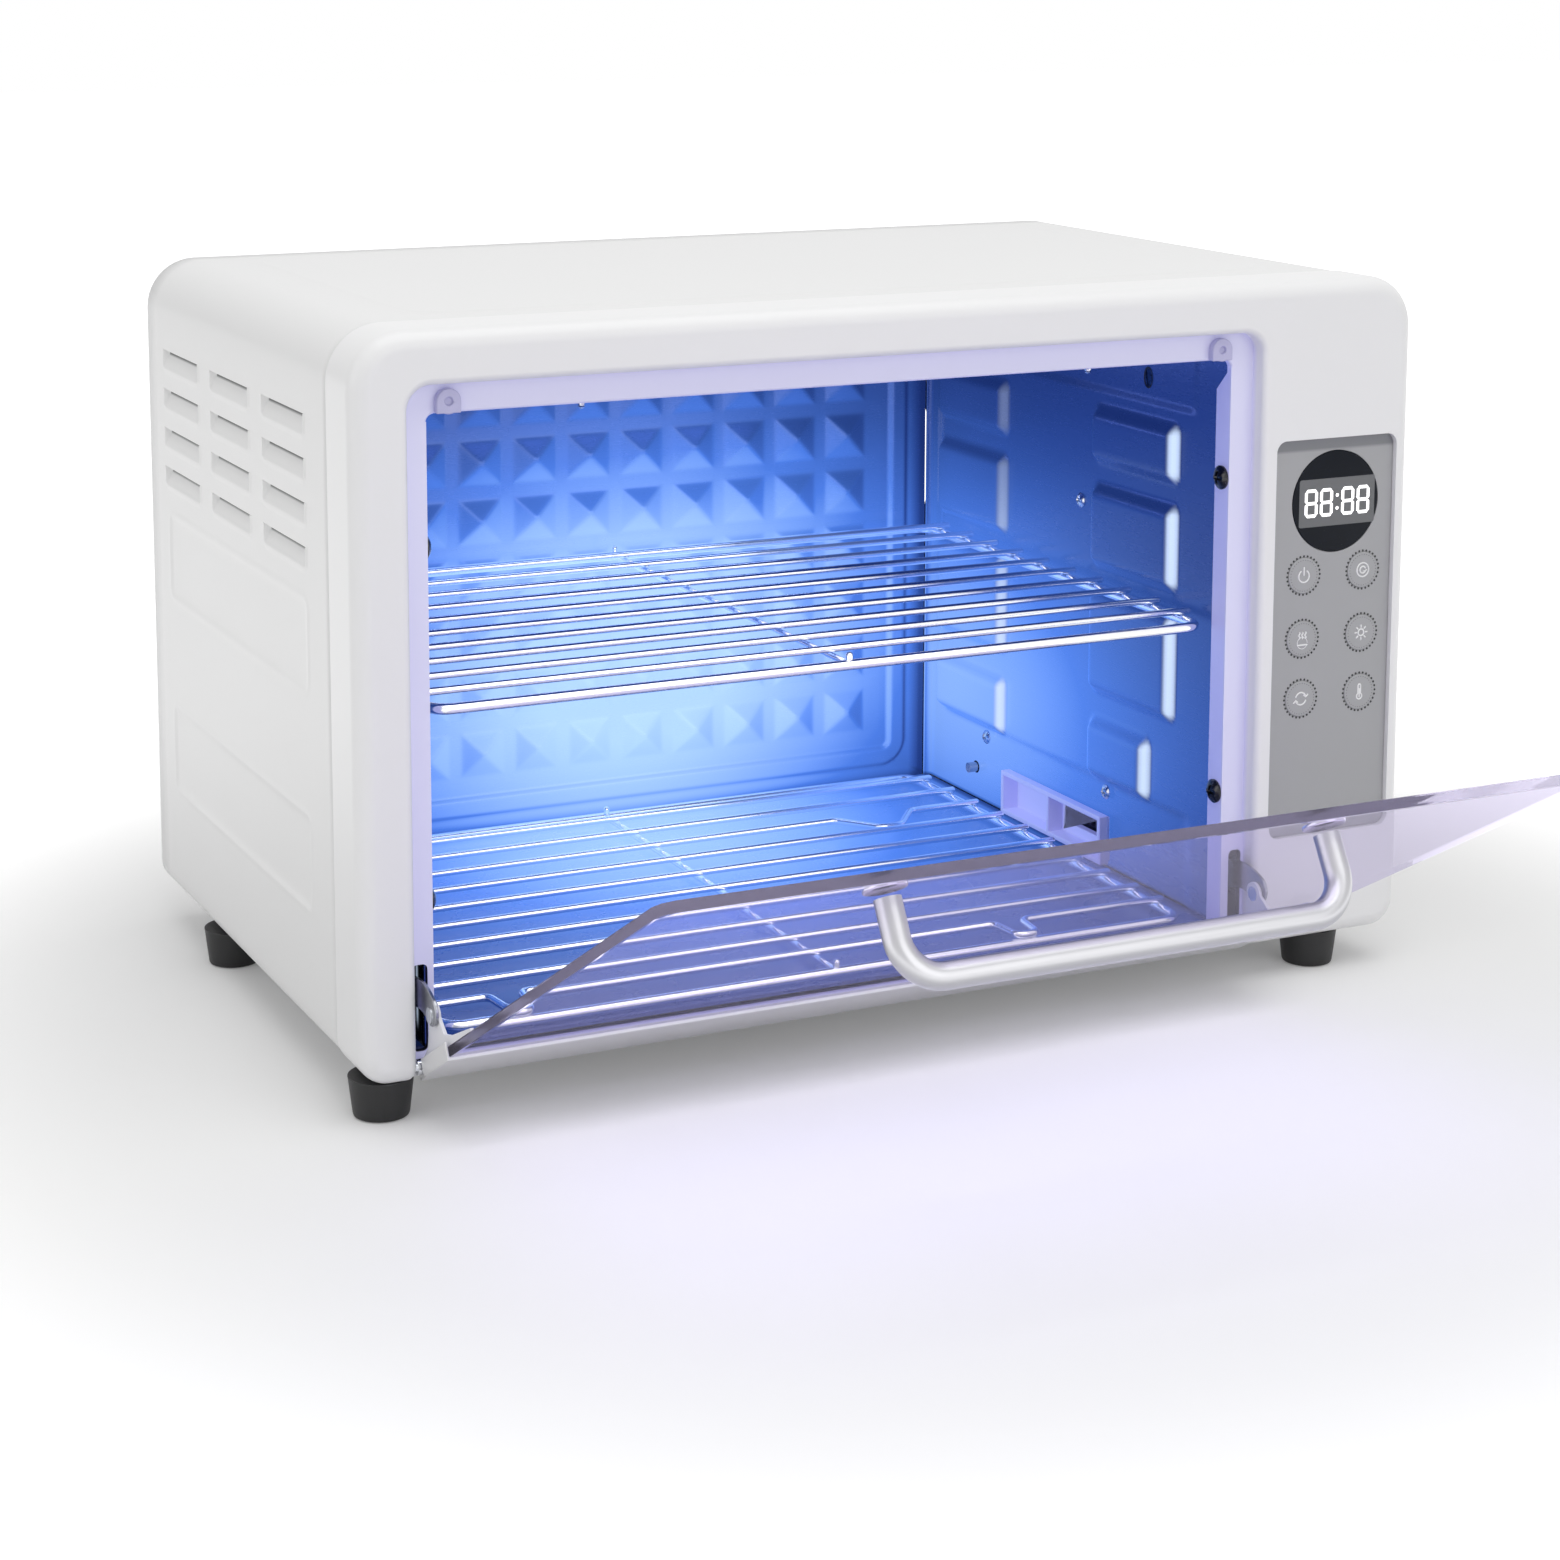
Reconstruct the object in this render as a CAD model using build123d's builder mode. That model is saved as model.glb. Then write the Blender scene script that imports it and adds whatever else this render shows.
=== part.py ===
"""Bench-top sterilizer cabinet with a lit cavity, two wire racks and a drop-down glass door.

Lengths are in millimetres and +Z is up. Positions are written as distances from the body's
left side, from the frame's front face and from the body's underside; the helpers turn them
into coordinates whose origin is at the bottom centre of the whole object, door part-open.
"""
import math
import os

from build123d import *

os.makedirs("parts", exist_ok=True)

# Body
BODY_WIDTH = 390.0
BODY_HEIGHT = 236.0
BODY_DEPTH = 238.0
FOOT_HEIGHT = 13.0
TOP_RADIUS = 18.0
BOTTOM_RADIUS = 10.0
FRAME_DEPTH = 25.0
FRAME_WALL = 2.5
FRAME_EDGE = 6.0
SHELL_INSET = 0.4
SHELL_THICKNESS = 1.2
REAR_PANEL_THICKNESS = 1.2
BASE_TOP = SHELL_INSET + 2 * SHELL_THICKNESS
GLAND_REACH = 8.0

# Door recess and opening in the frame
RECESS_LEFT = 18.0
RECESS_RIGHT = 327.0
RECESS_TOP = 219.0
RECESS_DEPTH = 7.0
RECESS_RADIUS = 8.0
LIP_RADIUS = 2.4
RIM_RADIUS = 1.0
OPENING_LEFT = 26.0
OPENING_RIGHT = 318.0
OPENING_BOTTOM = 7.0
OPENING_TOP = 209.3
SLOT_BOTTOM = 7.8
SLOT_TOP = 36.0

# Cavity
CAVITY_LEFT = 24.0
CAVITY_RIGHT = 320.0
CAVITY_FLOOR = 8.4
CAVITY_CEILING = 211.5
CAVITY_BACK = 227.0
LINER_THICKNESS = 1.0
EMBOSS_HEIGHT = 4.0
PYRAMID_BASE = 17.0
PYRAMID_HEIGHT = 3.6
PYRAMID_PITCH_X = 22.35
PYRAMID_PITCH_Z = 22.8

# Door
DOOR_ANGLE = 29.6
HINGE_DEPTH = 3.0
HINGE_HEIGHT = 4.5
GLASS_LEFT = 20.0
GLASS_RIGHT = 325.0
GLASS_START = 4.0
GLASS_END = 213.0
GLASS_CORNER = 5.0
GLASS_OUTER = -2.8
GLASS_INNER = 0.7
DOOR_CENTRE = (GLASS_LEFT + GLASS_RIGHT) / 2
PIN_RADIUS = 1.5
RIVET_U = 17.5
RIVET_N = 12.4
RIVET_ANGLE = DOOR_ANGLE + math.degrees(math.atan2(RIVET_N, RIVET_U))
HANDLE_LEFT = 96.0
HANDLE_RIGHT = 240.0
HANDLE_U = 190.0
HANDLE_STANDOFF = 23.0
HANDLE_RADIUS = 4.0
HANDLE_BEND = 12.0

# Control panel
PANEL_LEFT = 333.0
PANEL_RIGHT = 383.5
PANEL_BOTTOM = 40.0
PANEL_TOP = 180.5
DISPLAY_X = 359.3
DISPLAY_Z = 157.6
DISPLAY_RADIUS = 18.0
KEY_COLUMNS = (346.7, 371.7)
KEY_ROWS = (132.0, 109.4, 87.9)
KEY_RADIUS = 6.2

# Racks
RAIL_RADIUS = 1.8
WIRE_RADIUS = 1.3
WIRE_FIRST = 28.0
WIRE_PITCH = 19.6
WIRE_COUNT = 10

# Blower
BLOWER_DEPTH = 113.0
BLOWER_HEIGHT = 35.0
WHEEL_RADIUS = 22.0

# Feet
FOOT_COLUMNS = (10.5, 361.0)
FOOT_ROWS = (14.0, 178.0)

COS = math.cos(math.radians(DOOR_ANGLE))
SIN = math.sin(math.radians(DOOR_ANGLE))
FRONT_REACH = HINGE_DEPTH - GLASS_END * COS + GLASS_OUTER * SIN
BACK_REACH = BODY_DEPTH + GLAND_REACH
FACE_Y = -(FRONT_REACH + BACK_REACH) / 2


def at_x(value):
    """X of a point this far from the body's left side."""
    return value - BODY_WIDTH / 2


def at_y(value):
    """Y of a point this far behind the frame's front face."""
    return FACE_Y + value


def at_z(value):
    """Z of a point this far above the body's underside."""
    return FOOT_HEIGHT + value


def mirror_x(value):
    """The same distance from the body's left side on the other side of the door."""
    return 2 * DOOR_CENTRE - value


def front_plane(y):
    """Upright plane at a depth, facing forwards: local x is across, local y is up."""
    return Plane(origin=(at_x(0), at_y(y), at_z(0)), x_dir=(1, 0, 0), z_dir=(0, -1, 0))


def side_plane(x):
    """Upright plane facing right: local x is the depth, local y is up."""
    return Plane(origin=(at_x(x), at_y(0), at_z(0)), x_dir=(0, 1, 0), z_dir=(1, 0, 0))


def side_plane_left(x):
    """Upright plane facing left: local x is minus the depth, local y is up."""
    return Plane(origin=(at_x(x), at_y(0), at_z(0)), x_dir=(0, -1, 0), z_dir=(-1, 0, 0))


def top_plane(z):
    """Level plane facing up: local x is across, local y is the depth."""
    return Plane(origin=(at_x(0), at_y(0), at_z(z)), x_dir=(1, 0, 0), z_dir=(0, 0, 1))


def door_side(x):
    """Plane across the hinge: local x runs up the glass, local y into the cavity."""
    origin = (at_x(x), at_y(HINGE_DEPTH), at_z(HINGE_HEIGHT))
    return Plane(origin=origin, x_dir=(0, -COS, SIN), z_dir=(-1, 0, 0))


def door_face(n):
    """Plane of the glass at a height n: local x is across, local y runs up the glass."""
    origin = (at_x(0), at_y(HINGE_DEPTH + n * SIN), at_z(HINGE_HEIGHT + n * COS))
    return Plane(origin=origin, x_dir=(1, 0, 0), z_dir=(0, -SIN, -COS))


def block(x0, x1, y0, y1, z0, z1, mode=Mode.ADD):
    """Box between two corners."""
    with Locations((at_x((x0 + x1) / 2), at_y((y0 + y1) / 2), at_z((z0 + z1) / 2))):
        Box(x1 - x0, y1 - y0, z1 - z0, mode=mode)


def outline(x0, x1, y0, y1, top, bottom, mode=Mode.ADD):
    """Rectangle with one radius on its two upper corners and another on its lower ones."""
    with BuildLine() as border:
        Line((x0 + bottom, y0), (x1 - bottom, y0))
        CenterArc((x1 - bottom, y0 + bottom), bottom, -90, 90)
        Line((x1, y0 + bottom), (x1, y1 - top))
        CenterArc((x1 - top, y1 - top), top, 0, 90)
        Line((x1 - top, y1), (x0 + top, y1))
        CenterArc((x0 + top, y1 - top), top, 90, 90)
        Line((x0, y1 - top), (x0, y0 + bottom))
        CenterArc((x0 + bottom, y0 + bottom), bottom, 180, 90)
    make_face(border.edges(), mode=mode)


def body_outline(inset, mode=Mode.ADD):
    """The body's cross-section, drawn inside its outside by the inset."""
    outline(inset, BODY_WIDTH - inset, inset, BODY_HEIGHT - inset,
            max(TOP_RADIUS - inset, 1), max(BOTTOM_RADIUS - inset, 1), mode)


def rectangle(x0, x1, y0, y1, mode=Mode.ADD):
    """Sharp rectangle between two corners of a sketch."""
    with Locations(((x0 + x1) / 2, (y0 + y1) / 2)):
        Rectangle(x1 - x0, y1 - y0, mode=mode)


def soft_rectangle(x0, x1, y0, y1, radius, mode=Mode.ADD):
    """Rectangle between two corners of a sketch, all corners rounded alike."""
    with Locations(((x0 + x1) / 2, (y0 + y1) / 2)):
        RectangleRounded(x1 - x0, y1 - y0, radius, mode=mode)


def circles(points, radius, mode=Mode.ADD):
    """Circles of one radius at several points of a sketch."""
    with Locations(*points):
        Circle(radius, mode=mode)


def key_points():
    """Centres of the six keys, left to right and top to bottom."""
    return [(x, z) for z in KEY_ROWS for x in KEY_COLUMNS]


def foot_points():
    """Centres of the four feet, seen from above."""
    return [(x, y) for y in FOOT_ROWS for x in FOOT_COLUMNS]


def both_sides(x0, x1):
    """An interval left of the door's centre and its mirror image, each in rising order."""
    return [(x0, x1), (mirror_x(x1), mirror_x(x0))]


def edges_around(part, y, x0, x1, z0, z1):
    """Edges of a part that lie at one depth, inside or on a rectangle."""
    found = part.edges().filter_by_position(Axis.Y, at_y(y) - 0.01, at_y(y) + 0.01)
    found = found.filter_by(lambda edge: at_x(x0) - 0.1 < edge.center().X < at_x(x1) + 0.1)
    return found.filter_by(lambda edge: at_z(z0) - 0.1 < edge.center().Z < at_z(z1) + 0.1)


# Front frame: a rounded hoop with a stepped recess for the door and a pocket for the panel.
with BuildPart() as front_frame:
    with BuildSketch(front_plane(0)):
        body_outline(0)
    extrude(amount=-FRAME_DEPTH)
    fillet(front_frame.faces().sort_by(Axis.Y)[0].edges(), FRAME_EDGE)
    with BuildSketch(front_plane(FRAME_WALL)):
        body_outline(FRAME_WALL)
    extrude(amount=-FRAME_DEPTH, mode=Mode.SUBTRACT)
    with BuildSketch(front_plane(2)):
        outline(RECESS_LEFT - 2.5, RECESS_RIGHT + 2.5, 2, RECESS_TOP + 2.5, RECESS_RADIUS + 2.5, 1)
    extrude(amount=-(RECESS_DEPTH + 0.5))
    block(10, RECESS_LEFT, 2, 9.5, 2, 12)
    block(mirror_x(RECESS_LEFT), mirror_x(10), 2, 9.5, 2, 12)
    with BuildSketch(front_plane(-1)):
        outline(RECESS_LEFT, RECESS_RIGHT, -3, RECESS_TOP, RECESS_RADIUS, 1)
    extrude(amount=-(RECESS_DEPTH + 1), mode=Mode.SUBTRACT)
    fillet(edges_around(front_frame, 0, RECESS_LEFT, RECESS_RIGHT, 1, RECESS_TOP), LIP_RADIUS)
    with BuildSketch(front_plane(6)):
        soft_rectangle(OPENING_LEFT, OPENING_RIGHT, OPENING_BOTTOM, OPENING_TOP, 3)
    extrude(amount=-5, mode=Mode.SUBTRACT)
    fillet(edges_around(front_frame, RECESS_DEPTH, OPENING_LEFT, OPENING_RIGHT,
                        OPENING_BOTTOM, OPENING_TOP), RIM_RADIUS)
    # Return flanges beside the opening, cut off at an angle at the top.
    for left in (OPENING_LEFT - 1.6, OPENING_RIGHT):
        with BuildSketch(side_plane(left)):
            Polygon((7, 8.8), (15.7, 8.8), (15.7, 198), (7, 207), align=None)
        extrude(amount=1.6)
        with BuildSketch(side_plane(left - 1)):
            circles([(11.5, 167.5), (11.5, 55.5)], 1.7)
        extrude(amount=4, mode=Mode.SUBTRACT)
    # Slots for the door's stay arms and holes for the hinge pins.
    with BuildSketch(front_plane(6)):
        for left, right in both_sides(18.8, 24.0):
            soft_rectangle(left, right, SLOT_BOTTOM, SLOT_TOP, 1.8)
    extrude(amount=-4, mode=Mode.SUBTRACT)
    for left, right in both_sides(11.5, 19):
        with BuildSketch(side_plane(left)):
            circles([(HINGE_DEPTH, HINGE_HEIGHT)], PIN_RADIUS + 0.05)
        extrude(amount=right - left, mode=Mode.SUBTRACT)
    # Pocket for the control panel.
    block(PANEL_LEFT - 2.5, PANEL_RIGHT + 2.5, 2, 6, PANEL_BOTTOM - 2.5, PANEL_TOP + 2.5)
    with BuildSketch(front_plane(-1)):
        soft_rectangle(PANEL_LEFT, PANEL_RIGHT, PANEL_BOTTOM, PANEL_TOP, 4)
    extrude(amount=-4.2, mode=Mode.SUBTRACT)
    with BuildSketch(front_plane(3)):
        circles(key_points(), KEY_RADIUS + 0.6)
    extrude(amount=-1.6, mode=Mode.SUBTRACT)
    with BuildSketch(front_plane(3)):
        circles(key_points(), 2.3)
        with Locations((DISPLAY_X, DISPLAY_Z)):
            Rectangle(36, 22)
    extrude(amount=-4, mode=Mode.SUBTRACT)
    # Tongue that centres the sheet wrap.
    with BuildSketch(front_plane(24)):
        body_outline(2.0)
        body_outline(3.6, Mode.SUBTRACT)
        rectangle(0, BODY_WIDTH, 0, 16, Mode.SUBTRACT)
    extrude(amount=-7)
    with BuildSketch(top_plane(-1)):
        circles([(x, FOOT_ROWS[0]) for x in FOOT_COLUMNS], 2.2)
    extrude(amount=5, mode=Mode.SUBTRACT)
front_frame.part.label = "front_frame"
export_step(front_frame.part, "parts/front_frame.step")

# Sheet wrap: top and sides in one folded piece, open underneath, with pressed louvres.
LOUVRE_LENGTH = 45.0
LOUVRE_HEIGHT = 6.5
louvre_starts = [72 + 61 * step - LOUVRE_LENGTH / 2 for step in range(3)]
louvre_tops = [205.2 - 14.2 * step for step in range(4)]
with BuildPart() as outer_shell:
    with BuildSketch(front_plane(FRAME_DEPTH)):
        body_outline(SHELL_INSET)
        body_outline(SHELL_INSET + SHELL_THICKNESS, Mode.SUBTRACT)
        rectangle(27, BODY_WIDTH - 27, 0, 5, Mode.SUBTRACT)
    extrude(amount=-(BODY_DEPTH - REAR_PANEL_THICKNESS - FRAME_DEPTH))
    with BuildSketch(front_plane(BODY_DEPTH - REAR_PANEL_THICKNESS - 1.2)):
        body_outline(SHELL_INSET)
        body_outline(13, Mode.SUBTRACT)
    extrude(amount=-1.2)
    for start in louvre_starts:
        for top in louvre_tops:
            block(-1, 2, start, start + LOUVRE_LENGTH, top - LOUVRE_HEIGHT, top, Mode.SUBTRACT)
            block(BODY_WIDTH - 2, BODY_WIDTH + 1, start, start + LOUVRE_LENGTH,
                  top - LOUVRE_HEIGHT, top, Mode.SUBTRACT)
    for start in louvre_starts:
        with BuildSketch(front_plane(start)):
            for top in louvre_tops:
                low = top - LOUVRE_HEIGHT
                for flip in (1, -1):
                    left = 0 if flip == 1 else BODY_WIDTH
                    Polygon((left + flip * 0.4, low), (left + flip * 1.6, low - 0.6),
                            (left + flip * 5.4, top - 1), (left + flip * 4.2, top - 1), align=None)
        extrude(amount=-LOUVRE_LENGTH)
        for end in (start, start + LOUVRE_LENGTH - 1):
            with BuildSketch(front_plane(end)):
                for top in louvre_tops:
                    low = top - LOUVRE_HEIGHT
                    for flip in (1, -1):
                        left = 0 if flip == 1 else BODY_WIDTH
                        Polygon((left + flip * 0.4, low), (left + flip * 5.4, top - 1),
                                (left + flip * 1.6, top), (left + flip * 0.4, top), align=None)
            extrude(amount=-1)
    # Shallow pressed fields below the louvres.
    for low, high in ((115, 146), (43, 75)):
        with BuildSketch(side_plane(1.5)):
            soft_rectangle(49, 214, low, high, 9)
        extrude(amount=0.7)
        with BuildSketch(side_plane(-0.5)):
            soft_rectangle(50, 213, low + 1, high - 1, 8)
        extrude(amount=1.5, mode=Mode.SUBTRACT)
        with BuildSketch(side_plane(BODY_WIDTH - 2.2)):
            soft_rectangle(49, 214, low, high, 9)
        extrude(amount=0.7)
        with BuildSketch(side_plane(BODY_WIDTH - 1)):
            soft_rectangle(50, 213, low + 1, high - 1, 8)
        extrude(amount=1.5, mode=Mode.SUBTRACT)
    with BuildSketch(top_plane(-1)):
        circles([(FOOT_COLUMNS[0], FOOT_ROWS[1]), (FOOT_COLUMNS[1], FOOT_ROWS[1])], 2.2)
    extrude(amount=5, mode=Mode.SUBTRACT)
    with BuildSketch(front_plane(BODY_DEPTH)):
        circles([(7.5, 118), (382.5, 118), (90, 229), (300, 229), (90, 7), (300, 7)], 1.6)
    extrude(amount=-5, both=True, mode=Mode.SUBTRACT)
outer_shell.part.label = "outer_shell"
export_step(outer_shell.part, "parts/outer_shell.step")

with BuildPart() as base_plate:
    block(15, 375, FRAME_DEPTH, 235.4, BASE_TOP - SHELL_THICKNESS, BASE_TOP)
    for y in (60, 110, 160, 210):
        block(60, 330, y - 2, y + 2, BASE_TOP, BASE_TOP + 0.8)
    with BuildSketch(top_plane(-1)):
        circles([(FOOT_COLUMNS[1], FOOT_ROWS[1])], 2.2)
    extrude(amount=5, mode=Mode.SUBTRACT)
base_plate.part.label = "base_plate"
export_step(base_plate.part, "parts/base_plate.step")

rear_screw_points = [(7.5, 118), (382.5, 118), (90, 229), (300, 229), (90, 7), (300, 7)]
GLAND_X = 345.0
GLAND_Z = 30.0
with BuildPart() as rear_panel:
    with BuildSketch(front_plane(BODY_DEPTH - REAR_PANEL_THICKNESS)):
        body_outline(SHELL_INSET)
        circles(rear_screw_points, 1.6, Mode.SUBTRACT)
        circles([(GLAND_X, GLAND_Z)], 6.5, Mode.SUBTRACT)
        for column in range(12):
            soft_rectangle(256 + 8 * column, 260 + 8 * column, 120, 160, 1.9, Mode.SUBTRACT)
            soft_rectangle(40 + 8 * column, 44 + 8 * column, 170, 200, 1.9, Mode.SUBTRACT)
    extrude(amount=-REAR_PANEL_THICKNESS)
rear_panel.part.label = "rear_panel"
export_step(rear_panel.part, "parts/rear_panel.step")

with BuildPart() as rear_screws:
    with BuildSketch(front_plane(BODY_DEPTH)):
        circles(rear_screw_points, 3.2)
    extrude(amount=-1.8)
    with BuildSketch(front_plane(BODY_DEPTH - 6)):
        circles(rear_screw_points, 1.45)
    extrude(amount=-6)
    for x, z in rear_screw_points:
        block(x - 2, x + 2, BODY_DEPTH + 1.1, BODY_DEPTH + 2, z - 0.4, z + 0.4, Mode.SUBTRACT)
        block(x - 0.4, x + 0.4, BODY_DEPTH + 1.1, BODY_DEPTH + 2, z - 2, z + 2, Mode.SUBTRACT)
rear_screws.part.label = "rear_screws"
export_step(rear_screws.part, "parts/rear_screws.step")

with BuildPart() as cord_gland:
    with BuildSketch(front_plane(BODY_DEPTH)):
        circles([(GLAND_X, GLAND_Z)], 9)
    extrude(amount=-3)
    with BuildSketch(front_plane(BODY_DEPTH + 3)):
        circles([(GLAND_X, GLAND_Z)], 7)
    extrude(amount=-(GLAND_REACH - 3))
    with BuildSketch(front_plane(BODY_DEPTH - 8)):
        circles([(GLAND_X, GLAND_Z)], 6.4)
    extrude(amount=-8)
    with BuildSketch(front_plane(BODY_DEPTH - 9)):
        circles([(GLAND_X, GLAND_Z)], 3.4)
    extrude(amount=-20, mode=Mode.SUBTRACT)
cord_gland.part.label = "cord_gland"
export_step(cord_gland.part, "parts/cord_gland.step")

# Feet: tapered rubber with a sunk screw.
for number, (foot_x, foot_y) in enumerate(foot_points(), start=1):
    with BuildPart() as foot:
        with BuildSketch(top_plane(-FOOT_HEIGHT)):
            circles([(foot_x, foot_y)], 9)
        with BuildSketch(top_plane(SHELL_INSET if foot_y > FRAME_DEPTH else 0)):
            circles([(foot_x, foot_y)], 10.5)
        loft()
        with BuildSketch(top_plane(-FOOT_HEIGHT - 1)):
            circles([(foot_x, foot_y)], 4.5)
        extrude(amount=7, mode=Mode.SUBTRACT)
        with BuildSketch(top_plane(-FOOT_HEIGHT)):
            circles([(foot_x, foot_y)], 2.2)
        extrude(amount=FOOT_HEIGHT + 1, mode=Mode.SUBTRACT)
    foot.part.label = f"foot_{number}"
    export_step(foot.part, f"parts/foot_{number}.step")

with BuildPart() as foot_screws:
    with BuildSketch(top_plane(-9.5)):
        circles(foot_points(), 4)
    extrude(amount=2.5)
    with BuildSketch(top_plane(-9.5)):
        circles(foot_points(), 2)
    extrude(amount=15)
foot_screws.part.label = "foot_screws"
export_step(foot_screws.part, "parts/foot_screws.step")

# Cavity liner: five pressed sheets that meet face to face.
EMBOSS_ROWS = ((163.0, 178.0), (124.0, 148.7), (76.0, 109.5), (43.0, 60.0))
side_screws = [(107.7, 143.5), (177, 35.7), (86.5, 36)]
ceiling_screws = [(80, 14.5), (265, 14.5)]


def emboss_fields(sign):
    """Base outlines of the eight pressed fields on one side wall."""
    for row, (low, high) in enumerate(EMBOSS_ROWS):
        front = 59.5 if row == 3 else 44
        for near, far in ((front, 95), (165.5, 213)):
            ends = sorted((sign * (near - EMBOSS_HEIGHT), sign * (far + EMBOSS_HEIGHT)))
            rectangle(ends[0], ends[1], low - EMBOSS_HEIGHT, high + EMBOSS_HEIGHT)


with BuildPart() as liner_left:
    block(CAVITY_LEFT - LINER_THICKNESS, CAVITY_LEFT, 9.7, CAVITY_BACK, CAVITY_FLOOR, CAVITY_CEILING)
    with BuildSketch(side_plane(CAVITY_LEFT)):
        emboss_fields(1)
    extrude(amount=EMBOSS_HEIGHT, taper=45)
    with BuildSketch(side_plane(CAVITY_LEFT - LINER_THICKNESS)):
        emboss_fields(1)
    extrude(amount=EMBOSS_HEIGHT, taper=45, mode=Mode.SUBTRACT)
    with BuildSketch(side_plane(CAVITY_LEFT - 2)):
        circles([(11.5, 167.5), (11.5, 55.5)], 1.7)
        circles(side_screws, 1.3)
    extrude(amount=3, mode=Mode.SUBTRACT)
liner_left.part.label = "liner_left"
export_step(liner_left.part, "parts/liner_left.step")

with BuildPart() as liner_right:
    block(CAVITY_RIGHT, CAVITY_RIGHT + LINER_THICKNESS, 9.7, CAVITY_BACK, CAVITY_FLOOR, CAVITY_CEILING)
    with BuildSketch(side_plane_left(CAVITY_RIGHT)):
        emboss_fields(-1)
    extrude(amount=EMBOSS_HEIGHT, taper=45)
    with BuildSketch(side_plane_left(CAVITY_RIGHT + LINER_THICKNESS)):
        emboss_fields(-1)
    extrude(amount=EMBOSS_HEIGHT, taper=45, mode=Mode.SUBTRACT)
    with BuildSketch(side_plane(CAVITY_RIGHT - 1)):
        circles([(11.5, 167.5), (11.5, 55.5)], 1.7)
        circles(side_screws, 1.3)
        soft_rectangle(85.4, 158.1, 10.6, 26.4, 0.4)
        circles([(187, 21)], 2.5)
        soft_rectangle(61.2, 67.2, 191.5, 199.5, 2.9)
    extrude(amount=3, mode=Mode.SUBTRACT)
liner_right.part.label = "liner_right"
export_step(liner_right.part, "parts/liner_right.step")

with BuildPart() as liner_back:
    block(CAVITY_LEFT - LINER_THICKNESS, CAVITY_RIGHT + LINER_THICKNESS,
          CAVITY_BACK, CAVITY_BACK + LINER_THICKNESS, CAVITY_FLOOR, CAVITY_CEILING)
    pyramid_places = [
        (at_x(169 + PYRAMID_PITCH_X * column), at_y(CAVITY_BACK - PYRAMID_HEIGHT / 2),
         at_z(39 + PYRAMID_PITCH_Z * row))
        for column in range(-5, 6) for row in range(8)
    ]
    with Locations(*pyramid_places):
        Wedge(PYRAMID_BASE, PYRAMID_HEIGHT, PYRAMID_BASE, PYRAMID_BASE / 2 - 1, PYRAMID_BASE / 2 - 1,
              PYRAMID_BASE / 2 + 1, PYRAMID_BASE / 2 + 1, rotation=(0, 0, 180))
    with Locations(*[(x, y + LINER_THICKNESS + 0.01, z) for x, y, z in pyramid_places]):
        Wedge(PYRAMID_BASE, PYRAMID_HEIGHT, PYRAMID_BASE, PYRAMID_BASE / 2 - 1, PYRAMID_BASE / 2 - 1,
              PYRAMID_BASE / 2 + 1, PYRAMID_BASE / 2 + 1, rotation=(0, 0, 180), mode=Mode.SUBTRACT)
liner_back.part.label = "liner_back"
export_step(liner_back.part, "parts/liner_back.step")

with BuildPart() as liner_ceiling:
    block(CAVITY_LEFT - LINER_THICKNESS, CAVITY_RIGHT + LINER_THICKNESS,
          9.7, CAVITY_BACK + LINER_THICKNESS, CAVITY_CEILING, CAVITY_CEILING + LINER_THICKNESS)
    with BuildSketch(top_plane(CAVITY_CEILING - 1)):
        circles([(70, 185), (274, 185)], 3)
        circles(ceiling_screws, 1.3)
    extrude(amount=3, mode=Mode.SUBTRACT)
liner_ceiling.part.label = "liner_ceiling"
export_step(liner_ceiling.part, "parts/liner_ceiling.step")

with BuildPart() as liner_floor:
    block(CAVITY_LEFT - LINER_THICKNESS, CAVITY_RIGHT + LINER_THICKNESS,
          9.5, CAVITY_BACK + LINER_THICKNESS, CAVITY_FLOOR - LINER_THICKNESS, CAVITY_FLOOR)
liner_floor.part.label = "liner_floor"
export_step(liner_floor.part, "parts/liner_floor.step")

with BuildPart() as liner_screws:
    with BuildSketch(side_plane(CAVITY_LEFT)):
        circles(side_screws, 2.8)
    extrude(amount=1.4)
    with BuildSketch(side_plane(CAVITY_LEFT - 4)):
        circles(side_screws, 1.2)
    extrude(amount=4)
    with BuildSketch(side_plane(CAVITY_RIGHT - 1.4)):
        circles(side_screws, 2.8)
    extrude(amount=1.4)
    with BuildSketch(side_plane(CAVITY_RIGHT)):
        circles(side_screws, 1.2)
    extrude(amount=4)
    # Two screws come down through the ceiling, so only their tips show.
    with BuildSketch(top_plane(OPENING_TOP - 2.5)):
        circles(ceiling_screws, 1.2)
    extrude(amount=CAVITY_CEILING + LINER_THICKNESS - OPENING_TOP + 2.5)
    with BuildSketch(top_plane(CAVITY_CEILING + LINER_THICKNESS)):
        circles(ceiling_screws, 2.8)
    extrude(amount=1.4)
liner_screws.part.label = "liner_screws"
export_step(liner_screws.part, "parts/liner_screws.step")

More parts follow.
